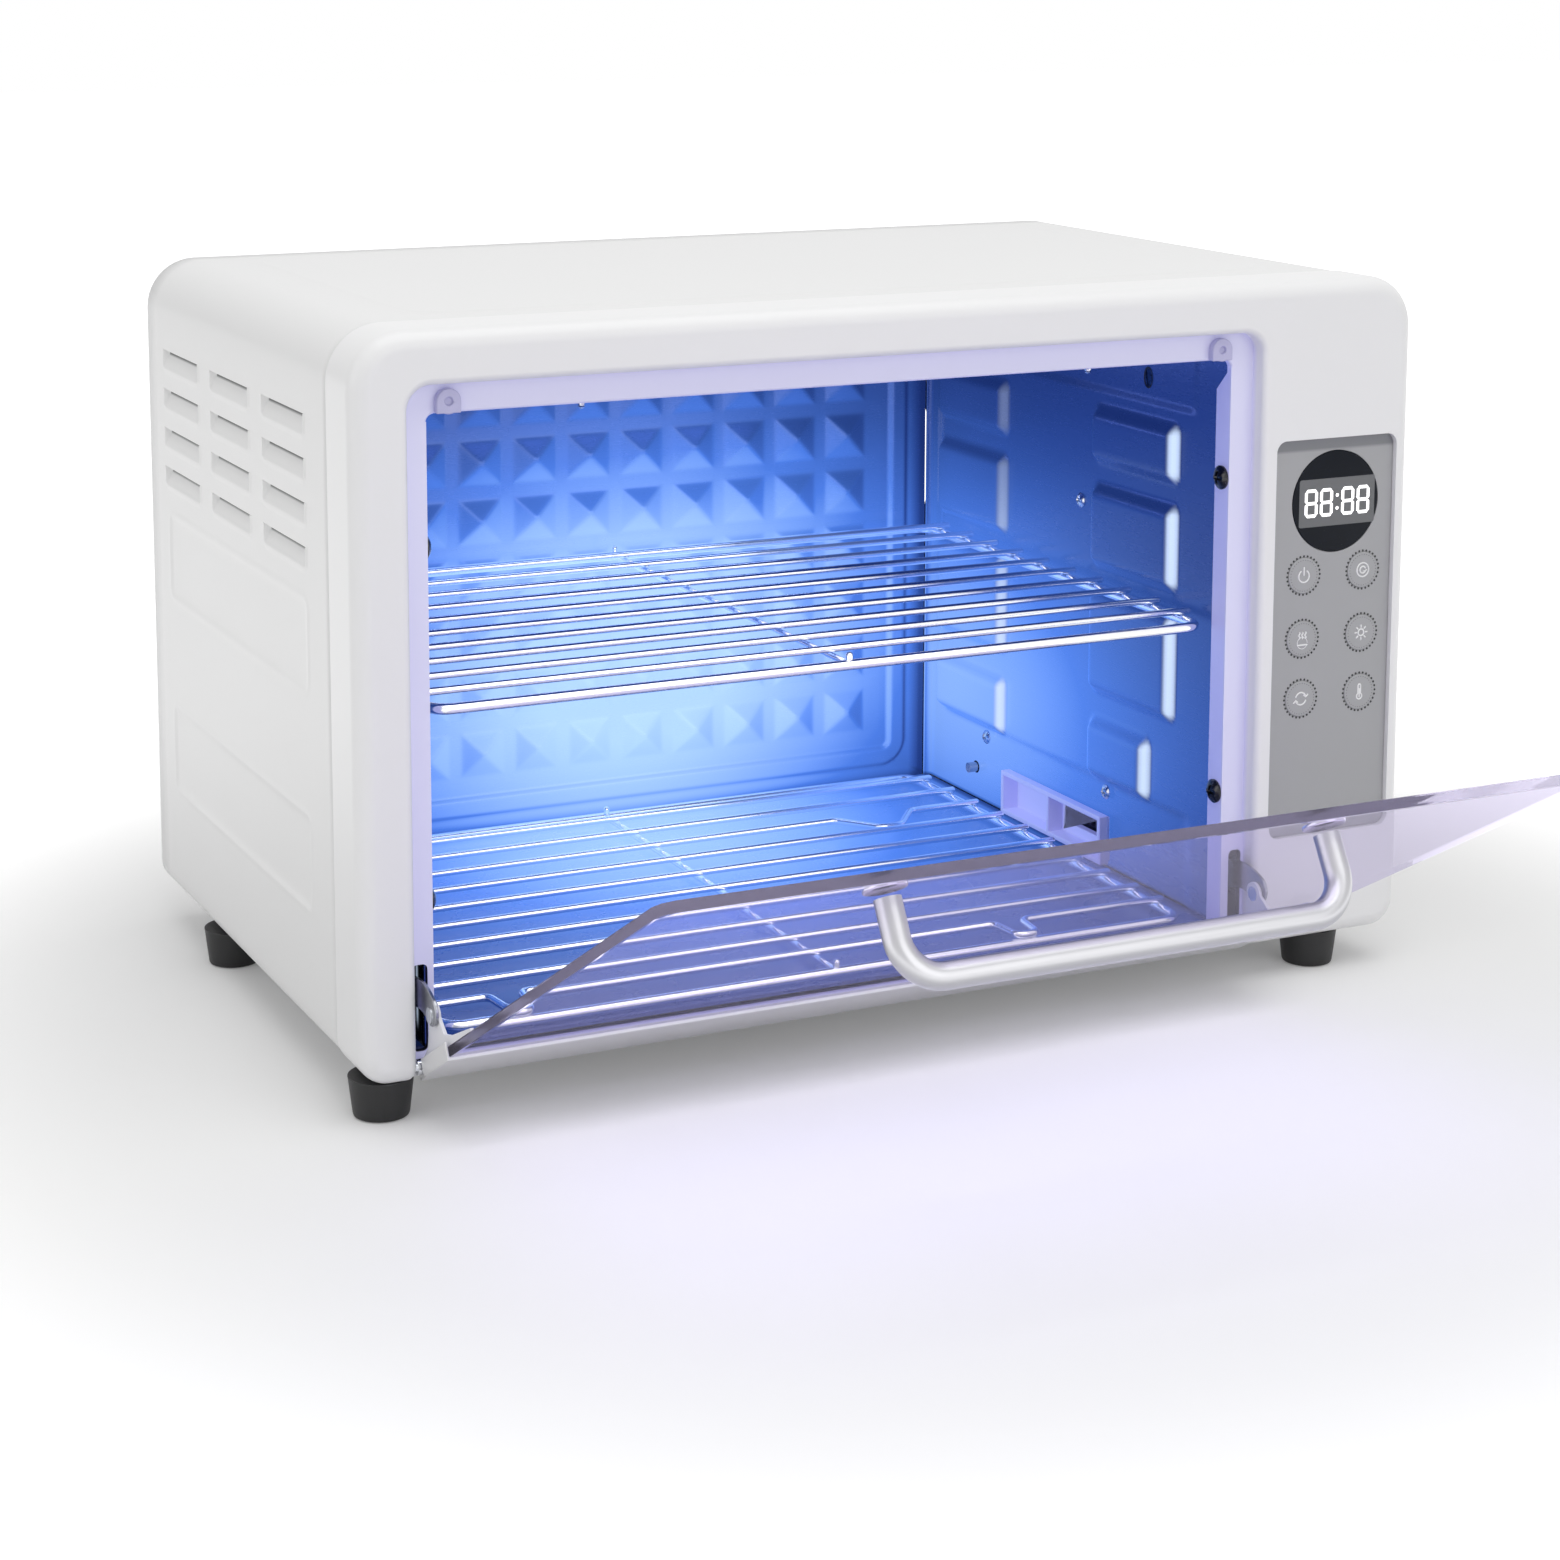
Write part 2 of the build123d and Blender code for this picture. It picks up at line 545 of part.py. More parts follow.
with BuildPart() as jamb_screws:
    for flange, head, shank in ((OPENING_LEFT, 2.5, -5.0), (OPENING_RIGHT, -2.5, 5.0)):
        for z in (167.5, 55.5):
            with BuildSketch(side_plane(flange)):
                circles([(11.5, z)], 4.2)
            extrude(amount=head)
            with BuildSketch(side_plane(flange)):
                circles([(11.5, z)], 1.5)
            extrude(amount=shank)
    fillet(jamb_screws.edges().filter_by(GeomType.CIRCLE).group_by(Axis.X)[2], 1.6)
    fillet(jamb_screws.edges().filter_by(GeomType.CIRCLE).group_by(Axis.X)[-3], 1.6)
jamb_screws.part.label = "jamb_screws"
export_step(jamb_screws.part, "parts/jamb_screws.step")

with BuildPart() as door_bumpers:
    with BuildSketch(front_plane(4.1)):
        for x in (32.5, 312.5):
            rectangle(x - 4, x + 4, OPENING_TOP + 0.2, OPENING_TOP + 3.9)
            circles([(x, OPENING_TOP + 3.9)], 4)
    extrude(amount=-(RECESS_DEPTH - 4.1))
    with BuildSketch(front_plane(4)):
        circles([(32.5, OPENING_TOP + 3.9), (312.5, OPENING_TOP + 3.9)], 1.3)
    extrude(amount=-1.2, mode=Mode.SUBTRACT)
door_bumpers.part.label = "door_bumpers"
export_step(door_bumpers.part, "parts/door_bumpers.step")

# Vent housing low on the right wall, with the heater and the blower behind it.
with BuildPart() as vent_housing:
    block(316, 320, 84.6, 158.9, 9.9, 27.1)
    block(320, 324, 85.7, 157.8, 10.9, 26.1)
    block(324, 333, 85.7, 148, 10.9, 26.1)
    # Two open cells in front, the nearer one with the air window in its back.
    block(315, 322.8, 86.6, 122.1, 11.7, 25.3, Mode.SUBTRACT)
    block(315, 322.8, 123.9, 156.9, 11.7, 25.3, Mode.SUBTRACT)
    block(323.8, 334, 86.6, 147.1, 11.7, 25.3, Mode.SUBTRACT)
    block(322, 324.5, 89, 120, 15.5, 24.5, Mode.SUBTRACT)
vent_housing.part.label = "vent_housing"
export_step(vent_housing.part, "parts/vent_housing.step")

with BuildPart() as ptc_heater:
    block(335, 347, 78, 148, 10, 29)
    block(334, 348, 80, 146, 12, 27, Mode.SUBTRACT)
    for step in range(16):
        block(336, 346, 83 + 4 * step, 83.6 + 4 * step, 11, 28)
    block(336, 346, 79, 147, 19, 20)
    # Cut-off disc bonded to the heater's top.
    block(336, 346, 96, 112, 29, 31)
    with BuildSketch(top_plane(31)):
        circles([(341, 104)], 4.5)
    extrude(amount=3)
ptc_heater.part.label = "ptc_heater"
export_step(ptc_heater.part, "parts/ptc_heater.step")

with BuildPart() as blower_housing:
    block(348, 375, BLOWER_DEPTH - 28, BLOWER_DEPTH + 28, BLOWER_HEIGHT - 28, BLOWER_HEIGHT + 28)
    with BuildSketch(side_plane(350)):
        circles([(BLOWER_DEPTH, BLOWER_HEIGHT)], 24.5)
    extrude(amount=23, mode=Mode.SUBTRACT)
    block(347, 351, 87, 139, 11, 28, Mode.SUBTRACT)
    with BuildSketch(side_plane(372)):
        circles([(BLOWER_DEPTH, BLOWER_HEIGHT)], 3)
    extrude(amount=4, mode=Mode.SUBTRACT)
blower_housing.part.label = "blower_housing"
export_step(blower_housing.part, "parts/blower_housing.step")

with BuildPart() as blower_motor:
    with BuildSketch(side_plane(375)):
        circles([(BLOWER_DEPTH, BLOWER_HEIGHT)], 14)
    extrude(amount=11.5)
    with BuildSketch(side_plane(358)):
        circles([(BLOWER_DEPTH, BLOWER_HEIGHT)], 2)
    extrude(amount=17)
blower_motor.part.label = "blower_motor"
export_step(blower_motor.part, "parts/blower_motor.step")

with BuildPart() as blower_wheel:
    with BuildSketch(side_plane(368)):
        circles([(BLOWER_DEPTH, BLOWER_HEIGHT)], WHEEL_RADIUS)
    extrude(amount=1.5)
    with BuildSketch(side_plane(354)):
        circles([(BLOWER_DEPTH, BLOWER_HEIGHT)], 7)
    extrude(amount=15)
    with BuildSketch(side_plane(352.5)):
        circles([(BLOWER_DEPTH, BLOWER_HEIGHT)], WHEEL_RADIUS)
        circles([(BLOWER_DEPTH, BLOWER_HEIGHT)], WHEEL_RADIUS - 3, Mode.SUBTRACT)
    extrude(amount=1.5)
    with BuildSketch(side_plane(353)):
        with Locations((BLOWER_DEPTH, BLOWER_HEIGHT)):
            with PolarLocations(WHEEL_RADIUS - 2.5, 22):
                Rectangle(4, 0.8, rotation=25)
    extrude(amount=16)
    with BuildSketch(side_plane(350)):
        circles([(BLOWER_DEPTH, BLOWER_HEIGHT)], 2.05)
    extrude(amount=22, mode=Mode.SUBTRACT)
blower_wheel.part.label = "blower_wheel"
export_step(blower_wheel.part, "parts/blower_wheel.step")

with BuildPart() as temperature_probe:
    with BuildSketch(side_plane(317)):
        circles([(187, 21)], 2)
    extrude(amount=14)
    block(321, 323, 181, 193, 16, 26)
temperature_probe.part.label = "temperature_probe"
export_step(temperature_probe.part, "parts/temperature_probe.step")

# Ultraviolet lamp under the ceiling, near the back.
LAMP_DEPTH = 185.0
LAMP_HEIGHT = 196.0
with BuildPart() as uv_lamp:
    with BuildSketch(side_plane(72)):
        circles([(LAMP_DEPTH, LAMP_HEIGHT)], 7.8)
    extrude(amount=200)
    for x in (66, 272):
        with BuildSketch(side_plane(x)):
            circles([(LAMP_DEPTH - 2.4, LAMP_HEIGHT), (LAMP_DEPTH + 2.4, LAMP_HEIGHT)], 1.1)
        extrude(amount=6)
uv_lamp.part.label = "uv_lamp"
export_step(uv_lamp.part, "parts/uv_lamp.step")

with BuildPart() as lamp_holders:
    for x in (62, 272):
        block(x, x + 10, LAMP_DEPTH - 9, LAMP_DEPTH + 9, LAMP_HEIGHT - 9, CAVITY_CEILING)
    for x in (64, 270):
        with BuildSketch(side_plane(x)):
            circles([(LAMP_DEPTH - 2.4, LAMP_HEIGHT), (LAMP_DEPTH + 2.4, LAMP_HEIGHT)], 1.2)
        extrude(amount=10, mode=Mode.SUBTRACT)
lamp_holders.part.label = "lamp_holders"
export_step(lamp_holders.part, "parts/lamp_holders.step")

with BuildPart() as lamp_guard:
    with BuildSketch(side_plane(84)):
        circles([(173, 196), (177.5, 186.5), (185, 183), (192.5, 186.5), (197, 196)], 0.9)
    extrude(amount=176)
    for x in (90, 172, 254):
        with BuildSketch(side_plane(x - 1)):
            rectangle(172.2, 197.8, 196, CAVITY_CEILING)
            circles([(185, 196)], 13.8)
            circles([(185, 196)], 11.6, Mode.SUBTRACT)
            rectangle(173.4, 196.6, 196, CAVITY_CEILING, Mode.SUBTRACT)
        extrude(amount=2)
lamp_guard.part.label = "lamp_guard"
export_step(lamp_guard.part, "parts/lamp_guard.step")

with BuildPart() as ballast:
    block(80, 176, 84, 124, 212.5, 229)
    block(70, 186, 94, 114, 212.5, 214)
    block(176, 182, 90, 118, 216, 224)
ballast.part.label = "ballast"
export_step(ballast.part, "parts/ballast.step")

with BuildPart() as terminal_block:
    block(340, 372, 196, 214, BASE_TOP, 16)
    for step in range(4):
        block(342 + 7.5 * step, 347 + 7.5 * step, 199, 211, 12, 17, Mode.SUBTRACT)
terminal_block.part.label = "terminal_block"
export_step(terminal_block.part, "parts/terminal_block.step")

with BuildPart() as door_switch:
    block(321.6, 327.6, 31.6, 47, BASE_TOP, 14)
    block(323, 326, 47, 51, 5, 11)
door_switch.part.label = "door_switch"
export_step(door_switch.part, "parts/door_switch.step")

# Control panel: printed overlay, round window, six keys, and the electronics behind.
with BuildPart() as control_panel:
    with BuildSketch(front_plane(2)):
        soft_rectangle(PANEL_LEFT + 0.2, PANEL_RIGHT - 0.2, PANEL_BOTTOM + 0.2, PANEL_TOP - 0.2, 3.8)
        circles([(DISPLAY_X, DISPLAY_Z)], DISPLAY_RADIUS + 0.2, Mode.SUBTRACT)
        circles(key_points(), KEY_RADIUS + 0.3, Mode.SUBTRACT)
    extrude(amount=-1.2)
control_panel.part.label = "control_panel"
export_step(control_panel.part, "parts/control_panel.step")

with BuildPart() as display_window:
    with BuildSketch(front_plane(1.8)):
        circles([(DISPLAY_X, DISPLAY_Z)], DISPLAY_RADIUS)
    extrude(amount=-1.4)
display_window.part.label = "display_window"
export_step(display_window.part, "parts/display_window.step")

with BuildPart() as display_module:
    block(DISPLAY_X - 17, DISPLAY_X + 17, 3.4, 12, DISPLAY_Z - 10, DISPLAY_Z + 10)
display_module.part.label = "display_module"
export_step(display_module.part, "parts/display_module.step")

for number, (key_x, key_z) in enumerate(key_points(), start=1):
    with BuildPart() as key:
        with BuildSketch(front_plane(1.7)):
            circles([(key_x, key_z)], KEY_RADIUS)
        extrude(amount=-2.2)
        fillet(key.edges().filter_by(GeomType.CIRCLE).sort_by(Axis.Y)[0], 0.4)
        with BuildSketch(front_plane(3.8)):
            circles([(key_x, key_z)], 2)
        extrude(amount=-4.4)
    key.part.label = f"key_{number}"
    export_step(key.part, f"parts/key_{number}.step")

with BuildPart() as control_board:
    block(335, 381, 12, 13.6, 70, 177)
    block(342, 356, 13.6, 16.5, 74, 86)
    block(362, 376, 13.6, 24, 72, 84)
control_board.part.label = "control_board"
export_step(control_board.part, "parts/control_board.step")

with BuildPart() as board_standoffs:
    with BuildSketch(front_plane(6)):
        circles([(338.5, 74), (377.5, 74), (338.5, 173), (377.5, 173)], 2.5)
    extrude(amount=-6)
board_standoffs.part.label = "board_standoffs"
export_step(board_standoffs.part, "parts/board_standoffs.step")

with BuildPart() as key_switches:
    for key_x, key_z in key_points():
        block(key_x - 3, key_x + 3, 9.4, 12, key_z - 3, key_z + 3)
        with BuildSketch(front_plane(8.75)):
            circles([(key_x, key_z)], 1.7)
        extrude(amount=-0.7)
key_switches.part.label = "key_switches"
export_step(key_switches.part, "parts/key_switches.step")

# Door: all its pieces are drawn in the door's own planes at the rest angle.
with BuildPart() as door_glass:
    with BuildSketch(door_face(GLASS_OUTER)):
        Polygon((GLASS_LEFT, GLASS_START), (GLASS_RIGHT, GLASS_START),
                (GLASS_RIGHT, GLASS_END - GLASS_CORNER), (GLASS_RIGHT - GLASS_CORNER, GLASS_END),
                (GLASS_LEFT + GLASS_CORNER, GLASS_END), (GLASS_LEFT, GLASS_END - GLASS_CORNER), align=None)
        circles([(HANDLE_LEFT, HANDLE_U), (HANDLE_RIGHT, HANDLE_U)], 2.5, Mode.SUBTRACT)
    extrude(amount=-(GLASS_INNER - GLASS_OUTER))
door_glass.part.label = "door_glass"
export_step(door_glass.part, "parts/door_glass.step")

CHANNEL_LEFT = 22.3
CHANNEL_RIGHT = mirror_x(CHANNEL_LEFT)
with BuildPart() as door_channel:
    with BuildSketch(door_side(GLASS_LEFT)):
        rectangle(-3, 29, -4, GLASS_OUTER)
    extrude(amount=-(GLASS_RIGHT - GLASS_LEFT))
    with BuildSketch(door_side(CHANNEL_LEFT)):
        rectangle(-3, -1.8, -4, 1.9)
        rectangle(-3, 12, GLASS_INNER, 1.9)
    extrude(amount=-(CHANNEL_RIGHT - CHANNEL_LEFT))
    # End plates over the glass's side edges.
    for left, right in both_sides(19.2, GLASS_LEFT):
        with BuildSketch(door_side(left)):
            rectangle(3.2, 29, -4, 1.9)
        extrude(amount=-(right - left))
door_channel.part.label = "door_channel"
export_step(door_channel.part, "parts/door_channel.step")

with BuildPart() as glass_seal:
    with BuildSketch(door_side(CHANNEL_LEFT)):
        rectangle(-1.8, GLASS_START, GLASS_OUTER, GLASS_INNER)
    extrude(amount=-(CHANNEL_RIGHT - CHANNEL_LEFT))
glass_seal.part.label = "glass_seal"
export_step(glass_seal.part, "parts/glass_seal.step")


def bracket_outline():
    """Side view of a hinge bracket: pivot eye, foot along the glass and ear for the arm."""
    Polygon((-2.2, 0.8), (2.4, -1), (3.7, 0.7), (49, 0.7), (49, 1.8), (30, 3.4), (24, 5),
            (21.2, 10.6), (14.6, 15), (10.5, 9), (6, 4), (0, 2.5), align=None)
    circles([(0, 0)], 2.6)
    circles([(RIVET_U, RIVET_N)], 4)
    circles([(0, 0), (RIVET_U, RIVET_N)], PIN_RADIUS, Mode.SUBTRACT)


def arm_outline():
    """Side view of a curved stay arm, its arc centred on the hinge."""
    centre = (HINGE_DEPTH, HINGE_HEIGHT)
    start = 180 - 121
    sweep_angle = 121 - RIVET_ANGLE
    with BuildLine() as border:
        inner = CenterArc(centre, 18.5, start, sweep_angle)
        outer = CenterArc(centre, 28, start, sweep_angle)
        Line(inner @ 0, outer @ 0)
        Line(inner @ 1, outer @ 1)
    make_face(border.edges())
    rivet_angle = math.radians(180 - RIVET_ANGLE)
    rivet_y = HINGE_DEPTH + math.hypot(RIVET_U, RIVET_N) * math.cos(rivet_angle)
    rivet_z = HINGE_HEIGHT + math.hypot(RIVET_U, RIVET_N) * math.sin(rivet_angle)
    middle = (HINGE_DEPTH + 23.25 * math.cos(rivet_angle), HINGE_HEIGHT + 23.25 * math.sin(rivet_angle))
    circles([middle], 4.75)
    circles([(rivet_y, rivet_z)], PIN_RADIUS, Mode.SUBTRACT)


with BuildPart() as door_bracket_left:
    with BuildSketch(door_side(21.1)):
        bracket_outline()
    extrude(amount=-1.2)
door_bracket_left.part.label = "door_bracket_left"
export_step(door_bracket_left.part, "parts/door_bracket_left.step")

with BuildPart() as door_bracket_right:
    with BuildSketch(door_side(mirror_x(22.3))):
        bracket_outline()
    extrude(amount=-1.2)
door_bracket_right.part.label = "door_bracket_right"
export_step(door_bracket_right.part, "parts/door_bracket_right.step")

with BuildPart() as link_arm_left:
    with BuildSketch(side_plane(19.8)):
        arm_outline()
    extrude(amount=1.2)
link_arm_left.part.label = "link_arm_left"
export_step(link_arm_left.part, "parts/link_arm_left.step")

with BuildPart() as link_arm_right:
    with BuildSketch(side_plane(mirror_x(21.0))):
        arm_outline()
    extrude(amount=1.2)
link_arm_right.part.label = "link_arm_right"
export_step(link_arm_right.part, "parts/link_arm_right.step")

with BuildPart() as arm_rivets:
    for (left, right), (head_left, head_right), (tail_left, tail_right) in zip(
            both_sides(19.5, 22.6), both_sides(19.5, 19.8), both_sides(22.3, 22.6)):
        with BuildSketch(door_side(left)):
            circles([(RIVET_U, RIVET_N)], PIN_RADIUS)
        extrude(amount=-(right - left))
        with BuildSketch(door_side(head_left)):
            circles([(RIVET_U, RIVET_N)], 2.6)
        extrude(amount=-(head_right - head_left))
        with BuildSketch(door_side(tail_left)):
            circles([(RIVET_U, RIVET_N)], 2.6)
        extrude(amount=-(tail_right - tail_left))
arm_rivets.part.label = "arm_rivets"
export_step(arm_rivets.part, "parts/arm_rivets.step")

with BuildPart() as hinge_pins:
    for (left, right), (collar_left, collar_right) in zip(both_sides(12, 22.3), both_sides(18.4, 21.1)):
        with BuildSketch(door_side(left)):
            circles([(0, 0)], PIN_RADIUS)
        extrude(amount=-(right - left))
        with BuildSketch(door_side(collar_left)):
            circles([(0, 0)], 2.5)
        extrude(amount=-(collar_right - collar_left))
hinge_pins.part.label = "hinge_pins"
export_step(hinge_pins.part, "parts/hinge_pins.step")

with BuildPart() as arm_friction_springs:
    for left, right in both_sides(15.6, 19.1):
        block(left, right, 9.5, 10.3, 19, 33)
    for left, right in both_sides(18.4, 19.1):
        block(left, right, 10.3, 22, 19, 33)
arm_friction_springs.part.label = "arm_friction_springs"
export_step(arm_friction_springs.part, "parts/arm_friction_springs.step")

WASHER = 1.5
bar_plane = Plane(
    origin=(at_x(0), at_y(HINGE_DEPTH - HANDLE_U * COS), at_z(HINGE_HEIGHT + HANDLE_U * SIN)),
    x_dir=(1, 0, 0),
    z_dir=(0, COS, -SIN),
)
leg_start = -GLASS_OUTER
bar_level = -GLASS_OUTER + HANDLE_STANDOFF
with BuildPart() as handle_bar:
    with BuildLine(bar_plane):
        FilletPolyline((HANDLE_LEFT, leg_start), (HANDLE_LEFT, bar_level),
                       (HANDLE_RIGHT, bar_level), (HANDLE_RIGHT, leg_start), radius=HANDLE_BEND)
    with BuildSketch(door_face(-leg_start)):
        circles([(HANDLE_LEFT, HANDLE_U)], HANDLE_RADIUS)
    sweep()
    with BuildSketch(door_face(-leg_start)):
        circles([(HANDLE_LEFT, HANDLE_U), (HANDLE_RIGHT, HANDLE_U)], 2)
    extrude(amount=9, mode=Mode.SUBTRACT)
handle_bar.part.label = "handle_bar"
export_step(handle_bar.part, "parts/handle_bar.step")

with BuildPart() as handle_washers:
    with BuildSketch(door_face(GLASS_INNER)):
        circles([(HANDLE_LEFT, HANDLE_U), (HANDLE_RIGHT, HANDLE_U)], 6.5)
        circles([(HANDLE_LEFT, HANDLE_U), (HANDLE_RIGHT, HANDLE_U)], 2.3, Mode.SUBTRACT)
    extrude(amount=-WASHER)
handle_washers.part.label = "handle_washers"
export_step(handle_washers.part, "parts/handle_washers.step")

with BuildPart() as handle_screws:
    with BuildSketch(door_face(GLASS_INNER + WASHER)):
        circles([(HANDLE_LEFT, HANDLE_U), (HANDLE_RIGHT, HANDLE_U)], 4.2)
    extrude(amount=-2.6)
    with BuildSketch(door_face(GLASS_INNER + WASHER)):
        circles([(HANDLE_LEFT, HANDLE_U), (HANDLE_RIGHT, HANDLE_U)], 1.95)
    extrude(amount=14)
handle_screws.part.label = "handle_screws"
export_step(handle_screws.part, "parts/handle_screws.step")


def rack_rail(x0, x1, y0, y1, z, radius):
    """Round bar bent into a closed hoop with rounded corners."""
    with BuildLine(top_plane(z)) as path:
        Line((x0 + radius, y0), (x1 - radius, y0))
        CenterArc((x1 - radius, y0 + radius), radius, -90, 90)
        Line((x1, y0 + radius), (x1, y1 - radius))
        CenterArc((x1 - radius, y1 - radius), radius, 0, 90)
        Line((x1 - radius, y1), (x0 + radius, y1))
        CenterArc((x0 + radius, y1 - radius), radius, 90, 90)
        Line((x0, y1 - radius), (x0, y0 + radius))
        CenterArc((x0 + radius, y0 + radius), radius, 180, 90)
    with BuildSketch(side_plane(x0 + radius)) as section:
        circles([(y0, z)], RAIL_RADIUS)
    sweep(sections=section.sketch, path=path.wires()[0])


def bent_wire(points, z, radius):
    """Thin wire following a level line of points with rounded bends."""
    with BuildLine(top_plane(z)) as path:
        FilletPolyline(*points, radius=radius)
    with BuildSketch(side_plane(points[0][0])) as section:
        circles([(points[0][1], z)], WIRE_RADIUS)
    sweep(sections=section.sketch, path=path.wires()[0])


# Racks: a hoop with one lengthwise wire, and cross wires that lie on top of the hoop.
UPPER_RAIL_Z = 114.2
UPPER_WIRE_Z = UPPER_RAIL_Z + RAIL_RADIUS + WIRE_RADIUS
with BuildPart() as upper_rack:
    rack_rail(30, 314, 16, 218, UPPER_RAIL_Z, 12)
    with BuildSketch(front_plane(16)):
        circles([(176, UPPER_RAIL_Z + 0.3)], WIRE_RADIUS)
    extrude(amount=-202)
upper_rack.part.label = "upper_rack"
export_step(upper_rack.part, "parts/upper_rack.step")

with BuildPart() as upper_rack_wires:
    with BuildSketch(side_plane(27)):
        circles([(WIRE_FIRST + WIRE_PITCH * step, UPPER_WIRE_Z) for step in range(WIRE_COUNT)],
                WIRE_RADIUS)
    extrude(amount=290)
upper_rack_wires.part.label = "upper_rack_wires"
export_step(upper_rack_wires.part, "parts/upper_rack_wires.step")

LOWER_RAIL_Z = CAVITY_FLOOR + RAIL_RADIUS + 0.1
LOWER_WIRE_Z = LOWER_RAIL_Z + RAIL_RADIUS + WIRE_RADIUS
with BuildPart() as lower_rack:
    rack_rail(33, 308, 17, 218, LOWER_RAIL_Z, 12)
    with BuildSketch(front_plane(17)):
        circles([(172, LOWER_RAIL_Z + 0.3)], WIRE_RADIUS)
    extrude(amount=-201)
lower_rack.part.label = "lower_rack"
export_step(lower_rack.part, "parts/lower_rack.step")

with BuildPart() as lower_rack_wires:
    straight = [step for step in range(1, WIRE_COUNT) if step != 7]
    with BuildSketch(side_plane(31.5)):
        circles([(WIRE_FIRST + WIRE_PITCH * step, LOWER_WIRE_Z) for step in straight], WIRE_RADIUS)
    extrude(amount=278)
    front_y = WIRE_FIRST + 3
    bent_wire([(31.5, front_y), (53, front_y), (55, 16.5), (62, 16.5), (64, front_y),
               (240, front_y), (242, 16.5), (249, 16.5), (251, front_y), (309.5, front_y)],
              LOWER_WIRE_Z, 1.8)
    back_y = WIRE_FIRST + WIRE_PITCH * 7
    bent_wire([(31.5, back_y), (246, back_y), (259, back_y - 16), (266, back_y - 16),
               (279, back_y), (309.5, back_y)], LOWER_WIRE_Z, 3)
lower_rack_wires.part.label = "lower_rack_wires"
export_step(lower_rack_wires.part, "parts/lower_rack_wires.step")
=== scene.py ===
"""Looks for a bench-top sterilizer cabinet: lit embossed cavity, wire racks and a drop-down glass door.

Positions are in millimetres from the body's left side (x), from the frame's front face (y, going
back) and from the body's underside (z); place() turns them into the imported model's metres.
"""
import math

import bmesh
import bpy
import numpy as np
from bpy.props import FloatProperty, FloatVectorProperty, PointerProperty
from mathutils import Matrix, Vector


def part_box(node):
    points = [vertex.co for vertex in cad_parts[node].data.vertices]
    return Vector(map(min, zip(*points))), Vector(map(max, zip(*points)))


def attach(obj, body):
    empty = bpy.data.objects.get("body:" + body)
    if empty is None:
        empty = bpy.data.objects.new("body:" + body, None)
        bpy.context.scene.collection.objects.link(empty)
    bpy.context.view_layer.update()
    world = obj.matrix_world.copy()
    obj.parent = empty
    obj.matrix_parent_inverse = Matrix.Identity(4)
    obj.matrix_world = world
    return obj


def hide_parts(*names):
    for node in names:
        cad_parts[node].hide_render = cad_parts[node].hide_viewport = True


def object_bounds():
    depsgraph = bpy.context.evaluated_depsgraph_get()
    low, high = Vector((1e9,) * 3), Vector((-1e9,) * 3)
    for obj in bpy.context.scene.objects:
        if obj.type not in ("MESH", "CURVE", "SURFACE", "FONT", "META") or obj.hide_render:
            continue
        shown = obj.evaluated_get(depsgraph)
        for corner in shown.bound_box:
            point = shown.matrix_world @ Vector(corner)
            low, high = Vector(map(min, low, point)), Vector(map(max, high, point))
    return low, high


bl_info = {
    "name": "Sterilizer Cabinet",
    "version": (1, 0, 0),
    "blender": (4, 5, 0),
    "location": "View3D > Sidebar > Cabinet",
    "description": "Builds the visible pieces and finishes of a bench-top sterilizer cabinet",
    "category": "Object",
}

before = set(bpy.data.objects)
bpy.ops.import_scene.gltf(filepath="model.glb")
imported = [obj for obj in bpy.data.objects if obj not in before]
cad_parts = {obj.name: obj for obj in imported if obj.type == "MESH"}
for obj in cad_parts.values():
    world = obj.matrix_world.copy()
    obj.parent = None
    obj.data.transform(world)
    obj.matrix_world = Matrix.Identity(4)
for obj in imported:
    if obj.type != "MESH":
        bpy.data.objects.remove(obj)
CAD_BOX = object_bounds()

MM = 0.001
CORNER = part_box("front_frame")[0]

# Body
WIDTH = 390.0
HEIGHT = 236.0
SHELL_START = 25.0
SHELL_END = 236.8
SHELL_INSET = 0.4
SHELL_SHEET = 1.2
TOP_RADIUS = 18.0
BOTTOM_RADIUS = 10.0
FLANGE_REACH = 27.0
PLATEAU = (32.0, 358.0, 40.0, 224.0)
PLATEAU_CORNER = 16.0
PLATEAU_SLOPE = np.linspace(0, 16, 17)
# Slots of the stay arms in the front frame, painted black inside as shade
SLOT_STARTS = (18.8, 321.0)
SLOT_WIDTH = 5.5
SLOT_FACE = 7.3
SLOT_LOW = 7.5
SLOT_HIGH = 36.3
LOUVRE_COLUMNS = np.array([72.0, 133.0, 194.0])
LOUVRE_TOPS = 205.2 - 14.2 * np.arange(4)
LOUVRE_LENGTH = 45.0
LOUVRE_HEIGHT = 6.5
LOUVRE_LIP = 0.3
LOUVRE_LIP_WIDTH = 0.9
# Height of the band of painted shade along the top of each louvre, where it opens
LOUVRE_SLIT_SHADE = 1.6
PRESSED_FIELDS = ((115.0, 146.0), (43.0, 75.0))
FIELD_FRONT = 49.0
FIELD_BACK = 214.0
FIELD_CORNER = 4.0
FOOT_PLACES = ((10.5, 14.0), (361.0, 14.0), (10.5, 178.0), (361.0, 178.0))

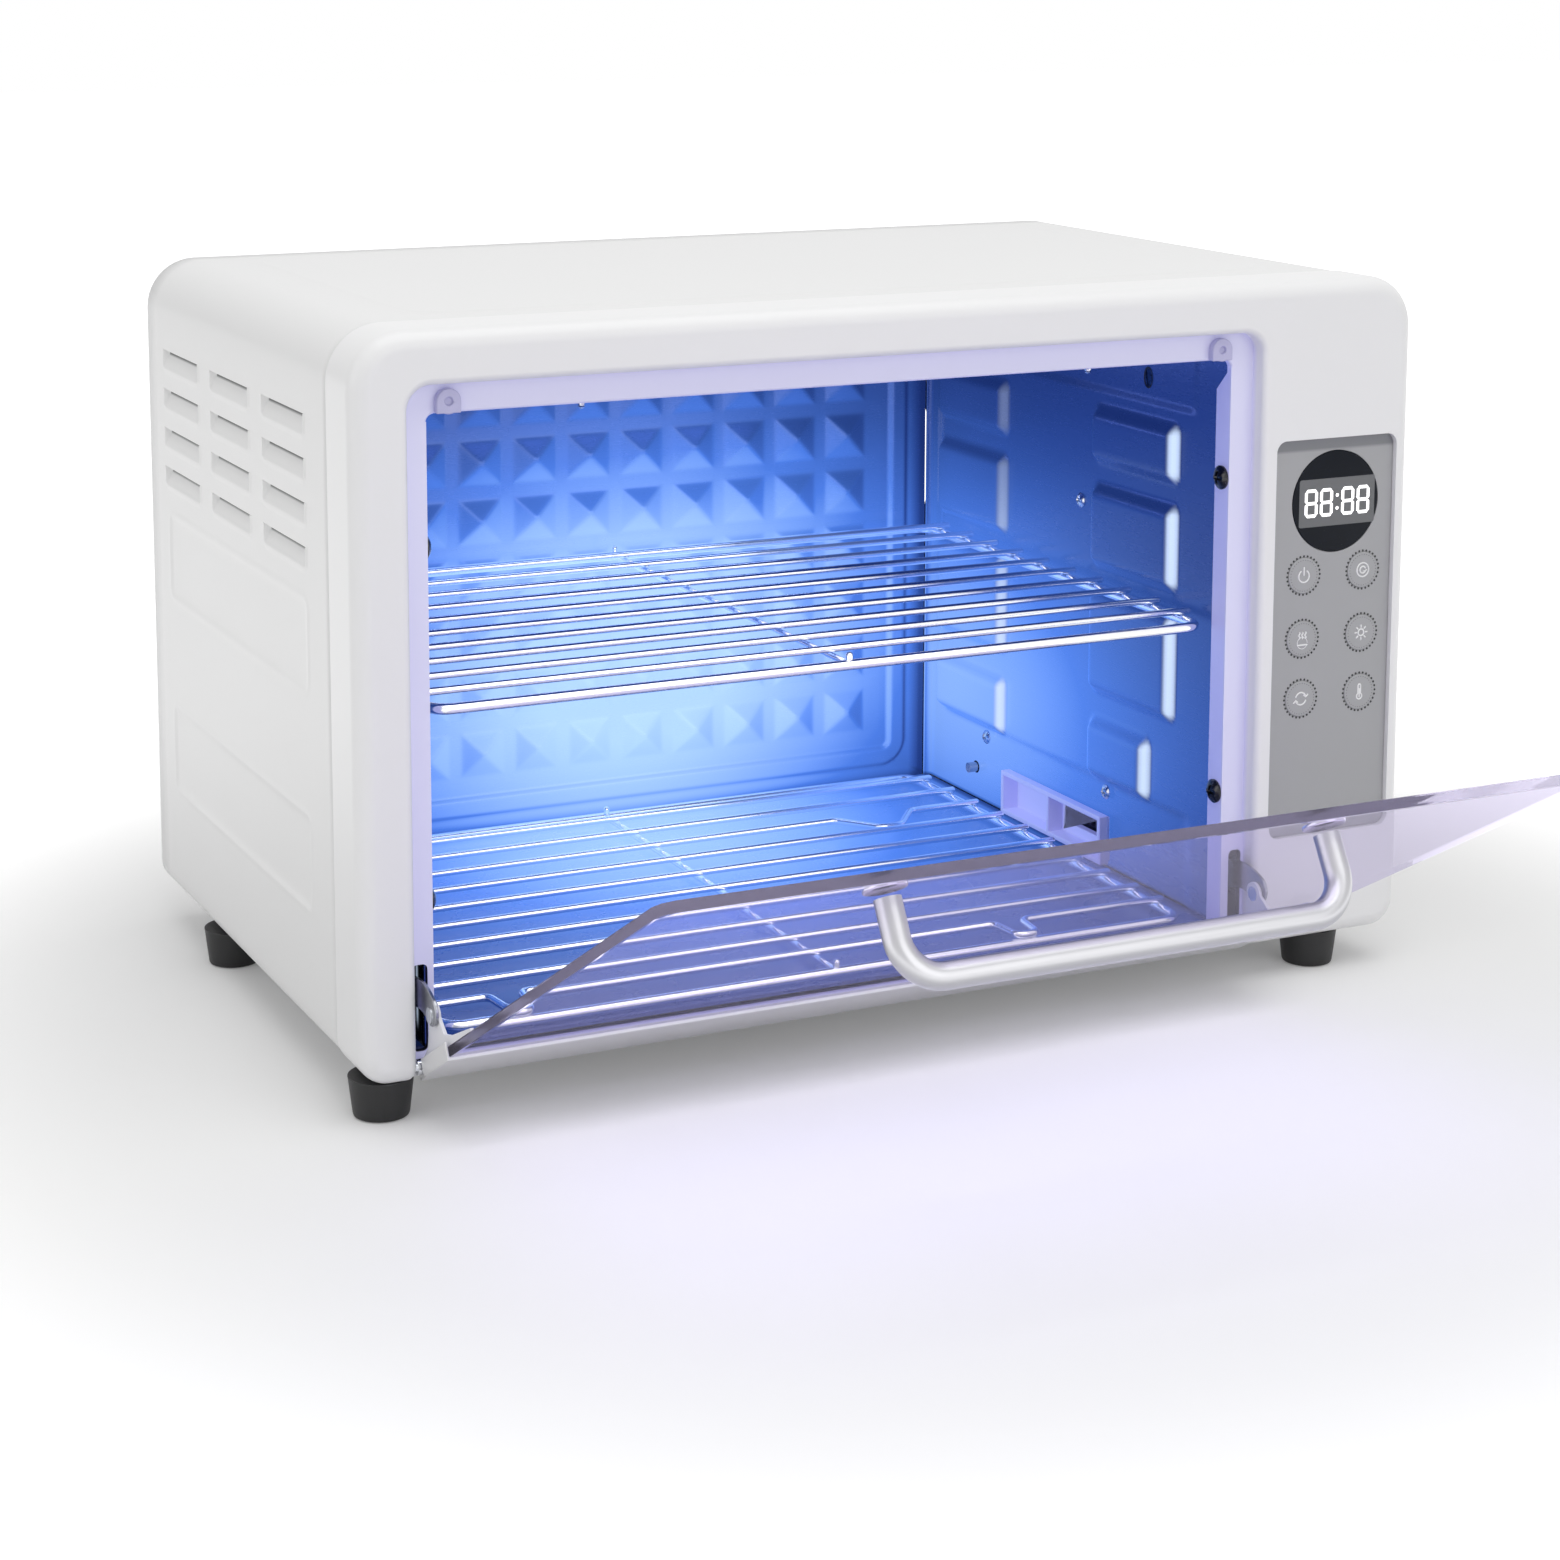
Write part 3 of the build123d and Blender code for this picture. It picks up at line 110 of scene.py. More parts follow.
# Cavity
CAVITY_LEFT = 24.0
CAVITY_RIGHT = 320.0
CAVITY_FRONT = 9.7
CAVITY_BACK = 227.0
CAVITY_FLOOR = 8.4
CAVITY_CEILING = 211.5
CAVITY_CORNER = 2.5
WALL_BORDER = (22.0, 216.0, 41.0, 186.0)
WALL_BORDER_CORNER = 10.0
EMBOSS_ROWS = ((163.0, 178.0), (124.0, 148.7), (76.0, 109.5), (43.0, 60.0))
EMBOSS_FRONT = (44.0, 95.0)
EMBOSS_LOWEST_FRONT = (59.5, 95.0)
EMBOSS_BACK = (165.5, 213.0)
PYRAMID_PITCH_X = 22.35
PYRAMID_PITCH_Z = 22.8
PYRAMID_HALF = 8.5
PYRAMID_MIDDLE_X = 169.0
PYRAMID_LOWEST_Z = 39.0
BEAD_FRAME = (39.2, 304.8, 18.5, 240.0)
BEAD_CORNER = 7.0
BEAD_HEIGHT = 1.3
TRAY = (34.0, 310.0, 24.0, 216.0)
TRAY_CORNER = 14.0
LINER_SHEET = 0.8
WIRE_HOLES = ((187.0, 21.0, 2.5, 2.5), (64.2, 195.5, 3.0, 4.0))
WALL_SCREWS = ((107.7, 143.5), (177.0, 35.7), (86.5, 36.0))
JAMB_SCREW_SIDES = ((26.0, 1), (318.0, -1))
JAMB_SCREW_HEIGHTS = (167.5, 55.5)
LEDGE_SCREWS = ((80.0, 14.5), (265.0, 14.5))
LEDGE_UNDERSIDE = 206.9
VENT_HOLE = (85.4, 158.1, 10.6, 26.4)
LAMP_LEFT = 72.0
LAMP_RIGHT = 272.0
LAMP_DEPTH = 185.0
LAMP_HEIGHT = 196.0
LIGHT_PLACE = (178.0, 184.0, 97.0)
BACK_LIGHT_PLACE = (172.0, 120.0, 42.0)

# Door, measured along the glass (u) and square to it, into the cavity (n)
DOOR_ANGLE = math.radians(29.6)
HINGE_DEPTH = 3.0
HINGE_HEIGHT = 4.5
GLASS_LEFT = 20.0
GLASS_RIGHT = 325.0
GLASS_START = 4.0
GLASS_END = 213.0
GLASS_OUTER = -2.8
GLASS_INNER = 0.7
GLASS_CORNER = 5.0
HANDLE_LEFT = 96.0
HANDLE_RIGHT = 240.0
HANDLE_U = 190.0
HANDLE_STANDOFF = 23.0
HANDLE_BEND = 12.0
WASHER = 1.5

# Racks
UPPER_RAIL_Z = 114.2
LOWER_RAIL_Z = 10.3
UPPER_HOOP = (30.0, 314.0, 16.0, 218.0)
LOWER_HOOP = (33.0, 308.0, 17.0, 218.0)
HOOP_BEND = 7.0
UPPER_WIRE_ENDS = (28.0, 316.0)
LOWER_WIRE_ENDS = (32.5, 308.5)
UPPER_LENGTHWISE = (176.0, 17.0, 217.0)
LOWER_LENGTHWISE = (172.0, 18.0, 217.0)
WIRE_FIRST = 28.0
WIRE_PITCH = 19.6
WIRE_COUNT = 10
DIPPED_WIRE = 7
DIP_Y = 16.8

# Control panel
PANEL_FACE = 2.0
DISPLAY_X = 359.3
DISPLAY_Z = 157.6
DIGIT_FIELD = (344.0, 375.8, 149.0, 165.9)
DIGIT_Z = 157.4
DIGIT_X = (349.0, 355.4, 364.4, 370.9)
DIGIT_HALF = 2.15
COLON_DOTS = ((359.95, 159.7), (359.95, 155.1))
DISPLAY_FACE = 1.8
DIGIT_FIELD_FACE = 1.76
DIGIT_FACE = 1.70
KEY_COLUMNS = (346.7, 371.7)
KEY_ROWS = (132.0, 109.4, 87.9)
KEY_FACE = 1.69
KEY_CAP_RADIUS = 6.4
DOT_RING = 6.85
FINE_RING = 5.5
# Band of painted shadow along the panel's top, under the pocket's upper edge
PANEL_SHADOW_BAND = ((330.0, -5.0, 175.6), (387.0, 8.0, 190.0))

# Camera, from the photograph's viewing angle
IMAGE_SIDE = 1560.0
FOCAL_PIXELS = 3178.9
CAMERA_PLACE = (-292.4, -900.81, 357.86)
CAMERA_AZIMUTH = math.radians(25.757)
CAMERA_ELEVATION = math.radians(8.380)
CAMERA_ROLL = math.radians(-0.142)
CAMERA_SHIFT_Y = -0.25


# Placing

def place(x, y, z):
    """Points in metres: the body's corner plus the three distances."""
    x, y, z = np.broadcast_arrays(np.asarray(x, float), np.asarray(y, float), np.asarray(z, float))
    return np.stack([CORNER.x + x * MM, CORNER.y + y * MM, CORNER.z + z * MM], axis=-1)


def door_place(x, u, n):
    """Points of the part-open door: u runs up the glass from the hinge, n into the cavity."""
    x, u, n = np.broadcast_arrays(np.asarray(x, float), np.asarray(u, float), np.asarray(n, float))
    sine = math.sin(DOOR_ANGLE)
    cosine = math.cos(DOOR_ANGLE)
    return place(x, HINGE_DEPTH - u * cosine + n * sine, HINGE_HEIGHT + u * sine + n * cosine)


def direction(vector):
    """The vector at unit length, along its last axis."""
    vector = np.asarray(vector, float)
    return vector / np.linalg.norm(vector, axis=-1, keepdims=True)


DOOR_UP = np.array([0.0, -math.cos(DOOR_ANGLE), math.sin(DOOR_ANGLE)])
DOOR_IN = np.array([0.0, math.sin(DOOR_ANGLE), math.cos(DOOR_ANGLE)])


def lines(*groups):
    """Rising grid lines gathered from several lists, without repeats."""
    return np.unique(np.round(np.concatenate([np.ravel(group) for group in groups]), 4))


# Surfaces: each returns its vertices and its faces

def grid_faces(rows, columns, close_rows=False, close_columns=False):
    """Corner numbers of the quads between neighbouring points of a grid."""
    row = np.arange(rows if close_rows else rows - 1)
    column = np.arange(columns if close_columns else columns - 1)
    r, c = np.meshgrid(row, column, indexing="ij")
    up = (r + 1) % rows
    right = (c + 1) % columns
    quads = np.stack([r * columns + c, r * columns + right, up * columns + right, up * columns + c], -1)
    return quads.reshape(-1, 4)


def sheet(points, close_rows=False, close_columns=False, cap_first=False, cap_last=False):
    """A grid of points as quads; a cap is one flat face across the first or the last row."""
    rows, columns = points.shape[:2]
    faces = grid_faces(rows, columns, close_rows, close_columns).tolist()
    if cap_first:
        faces.append(list(range(columns))[::-1])
    if cap_last:
        faces.append(list(range((rows - 1) * columns, rows * columns)))
    return points.reshape(-1, 3), faces


def together(shapes):
    """Several shapes as one list of vertices and faces."""
    vertices = []
    faces = []
    count = 0
    for points, corners in shapes:
        vertices.append(points)
        faces.extend([[index + count for index in face] for face in corners])
        count += len(points)
    return np.concatenate(vertices), faces


def ring_axes(axis):
    """Two unit vectors square to an axis and to each other."""
    axis = direction(axis)
    helper = np.array([0.0, 0.0, 1.0]) if abs(axis[2]) < 0.9 else np.array([1.0, 0.0, 0.0])
    first = direction(np.cross(helper, axis))
    return first, np.cross(axis, first)


def turned(centre, axis, profile, sides=40):
    """Pairs of radius and height turned about an axis: centre + height axis + radius (cos, sin)."""
    profile = np.asarray(profile, float)
    first, second = ring_axes(axis)
    angle = np.linspace(0, 2 * math.pi, sides, endpoint=False)
    round_about = np.cos(angle)[:, None] * first + np.sin(angle)[:, None] * second
    points = (centre + MM * profile[:, 1, None, None] * direction(axis)
              + MM * profile[:, 0, None, None] * round_about[None])
    return sheet(points, close_columns=True)


def bent(corners, radius, steps=7, closed=False):
    """A line with arcs for corners: quadratic curves, their middle weight the cosine of half the turn."""
    corners = np.asarray(corners, float)
    before = direction(corners - np.roll(corners, 1, axis=0))
    after = direction(np.roll(corners, -1, axis=0) - corners)
    half_turn = np.arccos(np.clip((before * after).sum(-1), -1, 1)) / 2
    reach = (radius * np.tan(np.minimum(half_turn, 1.4)))[:, None]
    start = (corners - before * reach)[:, None]
    end = (corners + after * reach)[:, None]
    step = np.linspace(0, 1, steps)[None, :, None]
    weight = np.cos(half_turn)[:, None, None]
    share = 2 * weight * step * (1 - step)
    arcs = (1 - step) ** 2 * start + share * corners[:, None] + step ** 2 * end
    arcs = arcs / ((1 - step) ** 2 + share + step ** 2)
    if closed:
        return arcs.reshape(-1, 3)
    return np.concatenate([corners[:1], arcs[1:-1].reshape(-1, 3), corners[-1:]])


def tube(path, radius, flat, sides=14, closed=False, rounding=4):
    """A round section carried along a path that lies in the plane square to flat; open ends are domed."""
    if closed:
        along = direction(np.roll(path, -1, axis=0) - np.roll(path, 1, axis=0))
    else:
        along = direction(np.gradient(path, axis=0))
    radii = np.full(len(path), radius)
    if not closed and rounding:
        swell = np.linspace(0, math.pi / 2, rounding + 1)
        dome = radius * np.cos(swell)[:, None]
        path = np.concatenate([path[0] - along[0] * dome, path[1:-1], path[-1] + along[-1] * dome[::-1]])
        radii = np.concatenate([radius * np.sin(swell), radii[1:-1], radius * np.sin(swell)[::-1]])
        ends = np.ones((rounding + 1, 1))
        along = np.concatenate([along[0] * ends, along[1:-1], along[-1] * ends])
    across = direction(np.cross(np.asarray(flat, float), along))
    lift = np.cross(along, across)
    angle = np.linspace(0, 2 * math.pi, sides, endpoint=False)[None, :, None]
    points = path[:, None] + radii[:, None, None] * (np.cos(angle) * across[:, None]
                                                     + np.sin(angle) * lift[:, None])
    flat_ends = not closed and not rounding
    return sheet(points, close_rows=closed, close_columns=True, cap_first=flat_ends, cap_last=flat_ends)


def rounded_loop(x0, x1, z0, z1, radii, steps=7):
    """Points round a rectangle whose corners are arcs, from the lower left one anticlockwise."""
    radii = np.broadcast_to(np.asarray(radii, float), 4)
    centre_x = np.array([x0, x1, x1, x0]) + np.array([1, -1, -1, 1]) * radii
    centre_z = np.array([z0, z0, z1, z1]) + np.array([1, 1, -1, -1]) * radii
    angle = np.radians([180, 270, 0, 90])[:, None] + np.linspace(0, math.pi / 2, steps)[None]
    x = centre_x[:, None] + radii[:, None] * np.cos(angle)
    z = centre_z[:, None] + radii[:, None] * np.sin(angle)
    return x.ravel(), z.ravel()


def plates(outlines, front, back):
    """Flat upright prisms: each (x, z) outline drawn at two depths and closed."""
    outlines = np.asarray(outlines, float)
    count, corners = outlines.shape[:2]
    near = place(outlines[..., 0], front, outlines[..., 1])
    far = place(outlines[..., 0], back, outlines[..., 1])
    points = np.stack([near, far], axis=1)
    walls = grid_faces(2, corners, close_columns=True)
    covers = np.stack([np.arange(corners)[::-1], corners + np.arange(corners)])
    base = np.arange(count)[:, None, None] * 2 * corners
    faces = (walls[None] + base).reshape(-1, 4).tolist()
    faces += (covers[None] + base).reshape(-1, corners).tolist()
    return points.reshape(-1, 3), faces


def circle_outlines(centres, radius, sides=8):
    """Outlines of equal discs at several (x, z) centres."""
    angle = np.linspace(0, 2 * math.pi, sides, endpoint=False)
    spoke = np.stack([np.cos(angle), np.sin(angle)], -1) * radius
    return np.asarray(centres, float)[:, None] + spoke[None]


def box_distance(x, z, x0, x1, z0, z1, radius=0.0):
    """Signed distance to a rounded rectangle, negative inside."""
    a = np.abs(x - (x0 + x1) / 2) - (x1 - x0) / 2 + radius
    b = np.abs(z - (z0 + z1) / 2) - (z1 - z0) / 2 + radius
    outside = np.hypot(np.maximum(a, 0), np.maximum(b, 0))
    return outside + np.minimum(np.maximum(a, b), 0) - radius


def soft_floor(value, softness):
    """The larger of the value and nothing, with a rounded turn: half of value plus root of its square."""
    return 0.5 * (value + np.sqrt(value * value + softness * softness))


def smooth(value):
    """Smooth step of a value held between nothing and one."""
    value = np.clip(value, 0, 1)
    return value * value * (3 - 2 * value)


# Turning shapes into pieces of the model

def add_to_scene(thing):
    """Links an object to the scene."""
    bpy.context.scene.collection.objects.link(thing)
    return thing


def new_piece(name, shape, body, material, stands_for=(), facing=None, sharp=35.0):
    """A mesh object with merged doubles and outward faces, riding on a body."""
    vertices, faces = shape
    mesh = bpy.data.meshes.new(name)
    mesh.from_pydata(np.asarray(vertices).tolist(), [], faces)
    work = bmesh.new()
    work.from_mesh(mesh)
    bmesh.ops.remove_doubles(work, verts=work.verts, dist=2e-6)
    bmesh.ops.recalc_face_normals(work, faces=work.faces)
    inside_out = work.calc_volume(signed=True) < 0
    if facing is not None:
        total = Vector((0, 0, 0))
        for face in work.faces:
            total += face.normal * face.calc_area()
        inside_out = total.dot(Vector(facing)) < 0
    if inside_out:
        bmesh.ops.reverse_faces(work, faces=work.faces)
    work.to_mesh(mesh)
    work.free()
    return finished(name, mesh, body, material, stands_for, sharp)


def finished(name, mesh, body, material, stands_for, sharp):
    """Shades a mesh, gives it its material and fastens it to its body."""
    mesh.shade_smooth()
    mesh.set_sharp_from_angle(angle=math.radians(sharp))
    mesh.materials.clear()
    mesh.materials.append(material)
    piece = add_to_scene(bpy.data.objects.new(name, mesh))
    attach(piece, body)
    if stands_for:
        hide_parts(*stands_for)
    return piece


def refined_copy(node, name, body, material, bevel=0.3, segments=2, sharp=30.0):
    """A CAD node's mesh with its doubles merged, flat faces joined and its hard edges rounded."""
    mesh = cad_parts[node].data.copy()
    mesh.name = name
    work = bmesh.new()
    work.from_mesh(mesh)
    bmesh.ops.remove_doubles(work, verts=work.verts, dist=2e-6)
    bmesh.ops.dissolve_limit(work, angle_limit=math.radians(0.2), verts=work.verts, edges=work.edges)
    work.to_mesh(mesh)
    work.free()
    piece = finished(name, mesh, body, material, (node,), sharp)
    if bevel:
        edge = piece.modifiers.new("edge_rounding", "BEVEL")
        edge.width = bevel * MM
        edge.segments = segments
        edge.limit_method = "ANGLE"
        edge.angle_limit = math.radians(sharp)
        edge.harden_normals = False
    weighted = piece.modifiers.new("even_shading", "WEIGHTED_NORMAL")
    weighted.keep_sharp = True
    return piece


def mark_points(piece, name, values):
    """Writes a value at each point of a piece's mesh."""
    mark = piece.data.attributes.new(name, "FLOAT", "POINT")
    mark.data.foreach_set("value", np.ravel(values).astype(np.float32))


def add_thickness(piece, thickness):
    """Gives an open sheet its wall, behind the visible face."""
    wall = piece.modifiers.new("sheet_thickness", "SOLIDIFY")
    wall.thickness = thickness * MM
    wall.offset = -1.0
    wall.use_even_offset = False


# Finishes: helpers

FLOAT = "NodeSocketFloat"
COLOUR = "NodeSocketColor"
VECTOR = "NodeSocketVector"
BLACK = (0.0, 0.0, 0.0, 1.0)
EVEN = (1.0, 1.0, 1.0)


def add_node(tree, kind, **choices):
    """A new node with its choices made."""
    made = tree.nodes.new(kind)
    for name, value in choices.items():
        setattr(made, name, value)
    return made


def feed(tree, socket, value):
    """Gives an input a link from another socket, or a plain value."""
    if isinstance(value, bpy.types.NodeSocket):
        tree.links.new(value, socket)
    else:
        socket.default_value = value


def calculate(tree, operation, first, second=None, third=None, clamp=False):
    """A Math node fed by sockets or numbers; returns its result."""
    made = add_node(tree, "ShaderNodeMath", operation=operation, use_clamp=clamp)
    for socket, value in zip(made.inputs, (first, second, third)):
        if value is not None:
            feed(tree, socket, value)
    return made.outputs[0]


def vector_maths(tree, operation, first, second=None):
    """A Vector Math node; returns its vector, or its single value where it gives one."""
    made = add_node(tree, "ShaderNodeVectorMath", operation=operation)
    feed(tree, made.inputs[0], first)
    if second is not None:
        feed(tree, made.inputs["Scale" if operation == "SCALE" else 1], second)
    return made.outputs["Value" if operation in ("DOT_PRODUCT", "LENGTH") else "Vector"]


def map_range(tree, value, low=0.0, high=1.0, lowest=0.0, smoothed=False):
    """A Map Range node: low becomes the lowest value and high becomes one; returns its result."""
    made = add_node(tree, "ShaderNodeMapRange", interpolation_type="SMOOTHSTEP" if smoothed else "LINEAR")
    for label, number in (("Value", value), ("From Min", low), ("From Max", high), ("To Min", lowest)):
        feed(tree, made.inputs[label], number)
    return made.outputs[0]


def blend_colours(tree, factor, first, second):
    """A Mix node for two colours, each a socket or a plain colour; returns its result."""
    made = add_node(tree, "ShaderNodeMix", data_type="RGBA")
    for index, value in ((0, factor), (6, first), (7, second)):
        feed(tree, made.inputs[index], value)
    return made.outputs[2]


def noise_value(tree, vector, scale, detail, roughness):
    """A Noise Texture node; returns its value."""
    made = add_node(tree, "ShaderNodeTexNoise")
    for label, value in (("Vector", vector), ("Scale", scale), ("Detail", detail),
                         ("Roughness", roughness)):
        feed(tree, made.inputs[label], value)
    return made.outputs[0]


def object_coordinates(tree):
    """The place on the object, in metres."""
    return add_node(tree, "ShaderNodeTexCoord").outputs["Object"]


def point_value(tree, name):
    """A value that the mesh holds at its points."""
    return add_node(tree, "ShaderNodeAttribute", attribute_name=name).outputs["Fac"]


def looked_at(tree):
    """One for rays that come from the camera straight, by a reflection or through glass."""
    path = add_node(tree, "ShaderNodeLightPath")
    seen = calculate(tree, "ADD", path.outputs["Is Camera Ray"], path.outputs["Is Glossy Ray"], clamp=True)
    return calculate(tree, "ADD", seen, path.outputs["Is Transmission Ray"], clamp=True)


def effect_group(name, inputs, outputs, build):
    """A shader node group, built once: build gets the tree, its input node and its output node."""
    found = bpy.data.node_groups.get(name)
    if found:
        return found
    group = bpy.data.node_groups.new(name, "ShaderNodeTree")
    for label, kind, value in inputs:
        group.interface.new_socket(label, in_out="INPUT", socket_type=kind).default_value = value
    for label, kind in outputs:
        group.interface.new_socket(label, in_out="OUTPUT", socket_type=kind)
    build(group, group.nodes.new("NodeGroupInput").outputs, group.nodes.new("NodeGroupOutput").inputs)
    return group


def use_group(tree, group, **values):
    """Places a node group in a material with its own values; underscores stand for spaces."""
    made = add_node(tree, "ShaderNodeGroup", node_tree=group)
    for name, value in values.items():
        made.inputs[name.replace("_", " ")].default_value = value
    return made.outputs


def build_fine_grain(tree, given, result):
    """Noise on object coordinates stretched along a chosen direction."""
    stretched = vector_maths(tree, "MULTIPLY", object_coordinates(tree), given["Stretch"])
    noise = noise_value(tree, stretched, given["Scale"], 3.0, 0.6)
    swing = calculate(tree, "SUBTRACT", noise, 0.5)
    spread = calculate(tree, "MULTIPLY", swing, given["Amount"])
    feed(tree, result["Value"], calculate(tree, "ADD", spread, given["Middle"]))
    feed(tree, result["Height"], noise)


def fine_grain():
    """Grain whose value swings about a middle by an amount."""
    return effect_group(
        "fine_grain",
        (("Scale", FLOAT, 800.0), ("Stretch", VECTOR, EVEN), ("Middle", FLOAT, 0.4),
         ("Amount", FLOAT, 0.1)),
        (("Value", FLOAT), ("Height", FLOAT)), build_fine_grain)


def build_tone_shift(tree, given, result):
    """Slow noise that makes a colour a little lighter or darker."""
    noise = noise_value(tree, object_coordinates(tree), given["Scale"], 2.0, 0.5)
    swing = calculate(tree, "SUBTRACT", noise, 0.5)
    factor = calculate(tree, "MULTIPLY_ADD", swing, given["Amount"], 1.0)
    feed(tree, result["Color"], vector_maths(tree, "SCALE", given["Color"], factor))


def tone_shift():
    """Slow variation of a colour's lightness."""
    return effect_group(
        "tone_shift",
        (("Color", COLOUR, (0.8, 0.8, 0.8, 1.0)), ("Scale", FLOAT, 14.0), ("Amount", FLOAT, 0.06)),
        (("Color", COLOUR),), build_tone_shift)


def build_cavity_glow(tree, given, result):
    """Glow that falls with the squared distance from a centre and with the turn away from a lamp; Lit_Side
    is a mask for painted shade where a surface turns from the lamp.
    """
    spot = add_node(tree, "ShaderNodeTexCoord").outputs
    share = vector_maths(tree, "SUBTRACT", spot["Object"], given["Centre"])
    share = vector_maths(tree, "DIVIDE", share, given["Reach"])
    square = vector_maths(tree, "DOT_PRODUCT", share, share)
    near = calculate(tree, "EXPONENT", calculate(tree, "MULTIPLY", square, -1.0))
    to_lamp = vector_maths(tree, "NORMALIZE", vector_maths(tree, "SUBTRACT", given["Lamp"], spot["Object"]))
    facing = vector_maths(tree, "DOT_PRODUCT", to_lamp, spot["Normal"])
    lit = calculate(tree, "POWER", map_range(tree, facing), given["Bite"])
    flood = calculate(tree, "MULTIPLY", calculate(tree, "MULTIPLY", near, near), given["Flood"])
    shade = calculate(tree, "MULTIPLY_ADD", calculate(tree, "SUBTRACT", 1.0, lit), flood, lit)
    level = calculate(tree, "MULTIPLY", near, shade)
    level = calculate(tree, "MULTIPLY", level, given["Gain"], clamp=True)
    from_far = map_range(tree, level, -0.1, 0.6, smoothed=True)
    to_near = map_range(tree, level, 0.4, 1.0)
    glow = blend_colours(tree, from_far, given["Far Color"], given["Middle Color"])
    glow = blend_colours(tree, to_near, glow, given["Near Color"])
    # Painted shade mask: nothing where the surface turns away from the lamp
    shown = map_range(tree, facing, -0.55, -0.30)
    feed(tree, result["Color"], vector_maths(tree, "SCALE", glow, shown))
    feed(tree, result["Lit_Side"], shown)


def cavity_glow():
    """Light of the lit cavity as a colour that depends on the place inside it."""
    return effect_group(
        "cavity_glow",
        (("Centre", VECTOR, (0.0, 0.0, 0.0)), ("Reach", VECTOR, (0.180, 0.172, 0.090)),
         ("Lamp", VECTOR, (0.0, 0.0, 0.1)), ("Gain", FLOAT, 1.2), ("Flood", FLOAT, 0.9),
         ("Bite", FLOAT, 1.0), ("Far Color", COLOUR, (0.003, 0.008, 0.070, 1.0)),
         ("Middle Color", COLOUR, (0.085, 0.240, 0.860, 1.0)),
         ("Near Color", COLOUR, (0.460, 0.700, 1.000, 1.0))),
        (("Color", COLOUR), ("Lit_Side", FLOAT)), build_cavity_glow)


def build_box_mask(tree, given, result):
    """One inside a box and nothing outside, with soft sides: the least of the six distances."""
    spot = object_coordinates(tree)
    above = vector_maths(tree, "SUBTRACT", spot, given["Low"])
    below = vector_maths(tree, "SUBTRACT", given["High"], spot)
    parts = add_node(tree, "ShaderNodeSeparateXYZ")
    feed(tree, parts.inputs[0], vector_maths(tree, "MINIMUM", above, below))
    closest = calculate(tree, "MINIMUM", parts.outputs[0], parts.outputs[1])
    closest = calculate(tree, "MINIMUM", closest, parts.outputs[2])
    share = calculate(tree, "DIVIDE", closest, given["Softness"], clamp=True)
    feed(tree, result["Mask"], calculate(tree, "SMOOTH_MIN", share, 1.0, 0.1))


def box_mask(tree, low, high, softness):
    """The mask of a soft-sided box between two corners in millimetres."""
    group = effect_group(
        "box_mask",
        (("Low", VECTOR, (0.0, 0.0, 0.0)), ("High", VECTOR, EVEN), ("Softness", FLOAT, 0.004)),
        (("Mask", FLOAT),), build_box_mask)
    return use_group(tree, group, Low=corner_of(*low), High=corner_of(*high), Softness=softness)["Mask"]


def material_named(name, build):
    """The material of that name, built the first time it is asked for."""
    found = bpy.data.materials.get(name)
    if found:
        return found
    material = bpy.data.materials.new(name)
    material.use_nodes = True
    tree = material.node_tree
    build(tree, tree.nodes["Principled BSDF"])
    return material


def set_inputs(shader, **values):
    """Sets plain values on a shader; underscores stand for spaces."""
    for name, value in values.items():
        shader.inputs[name.replace("_", " ")].default_value = value


def toned(tree, base, scale, amount):
    """A colour whose lightness shifts slowly."""
    return use_group(tree, tone_shift(), Color=(*base, 1.0), Scale=scale, Amount=amount)["Color"]


def roughen(tree, shader, middle, swing, scale, stretch=EVEN, relief=0.0, strength=0.35):
    """Grain in the roughness and, where a relief in millimetres is given, in the surface."""
    grain = use_group(tree, fine_grain(), Scale=scale, Stretch=stretch, Middle=middle, Amount=swing)
    feed(tree, shader.inputs["Roughness"], grain["Value"])
    if relief:
        bump = add_node(tree, "ShaderNodeBump")
        set_inputs(bump, Strength=strength, Distance=relief * MM)
        feed(tree, bump.inputs["Height"], grain["Height"])
        feed(tree, shader.inputs["Normal"], bump.outputs[0])


def plain_finish(name, base, roughness, metallic=0.0, scale=900.0, stretch=EVEN,
                 swing=0.12, tone=0.06, relief=0.02, coat=0.0, specular=0.5):
    """A finish with grain in its roughness and relief and a slow shift of tone."""
    def build(tree, shader):
        feed(tree, shader.inputs["Base Color"], toned(tree, base, 16.0, tone))
        roughen(tree, shader, roughness, swing, scale, stretch, relief)
        set_inputs(shader, Metallic=metallic, Coat_Weight=coat, Specular_IOR_Level=specular,
                   Coat_Roughness=0.08)
    return material_named(name, build)


def settings():
    """The cabinet's settings on the scene."""
    return bpy.context.scene.cabinet


def corner_of(x, y, z):
    """One point in metres as a plain tuple."""
    return tuple(float(value) for value in place(x, y, z))


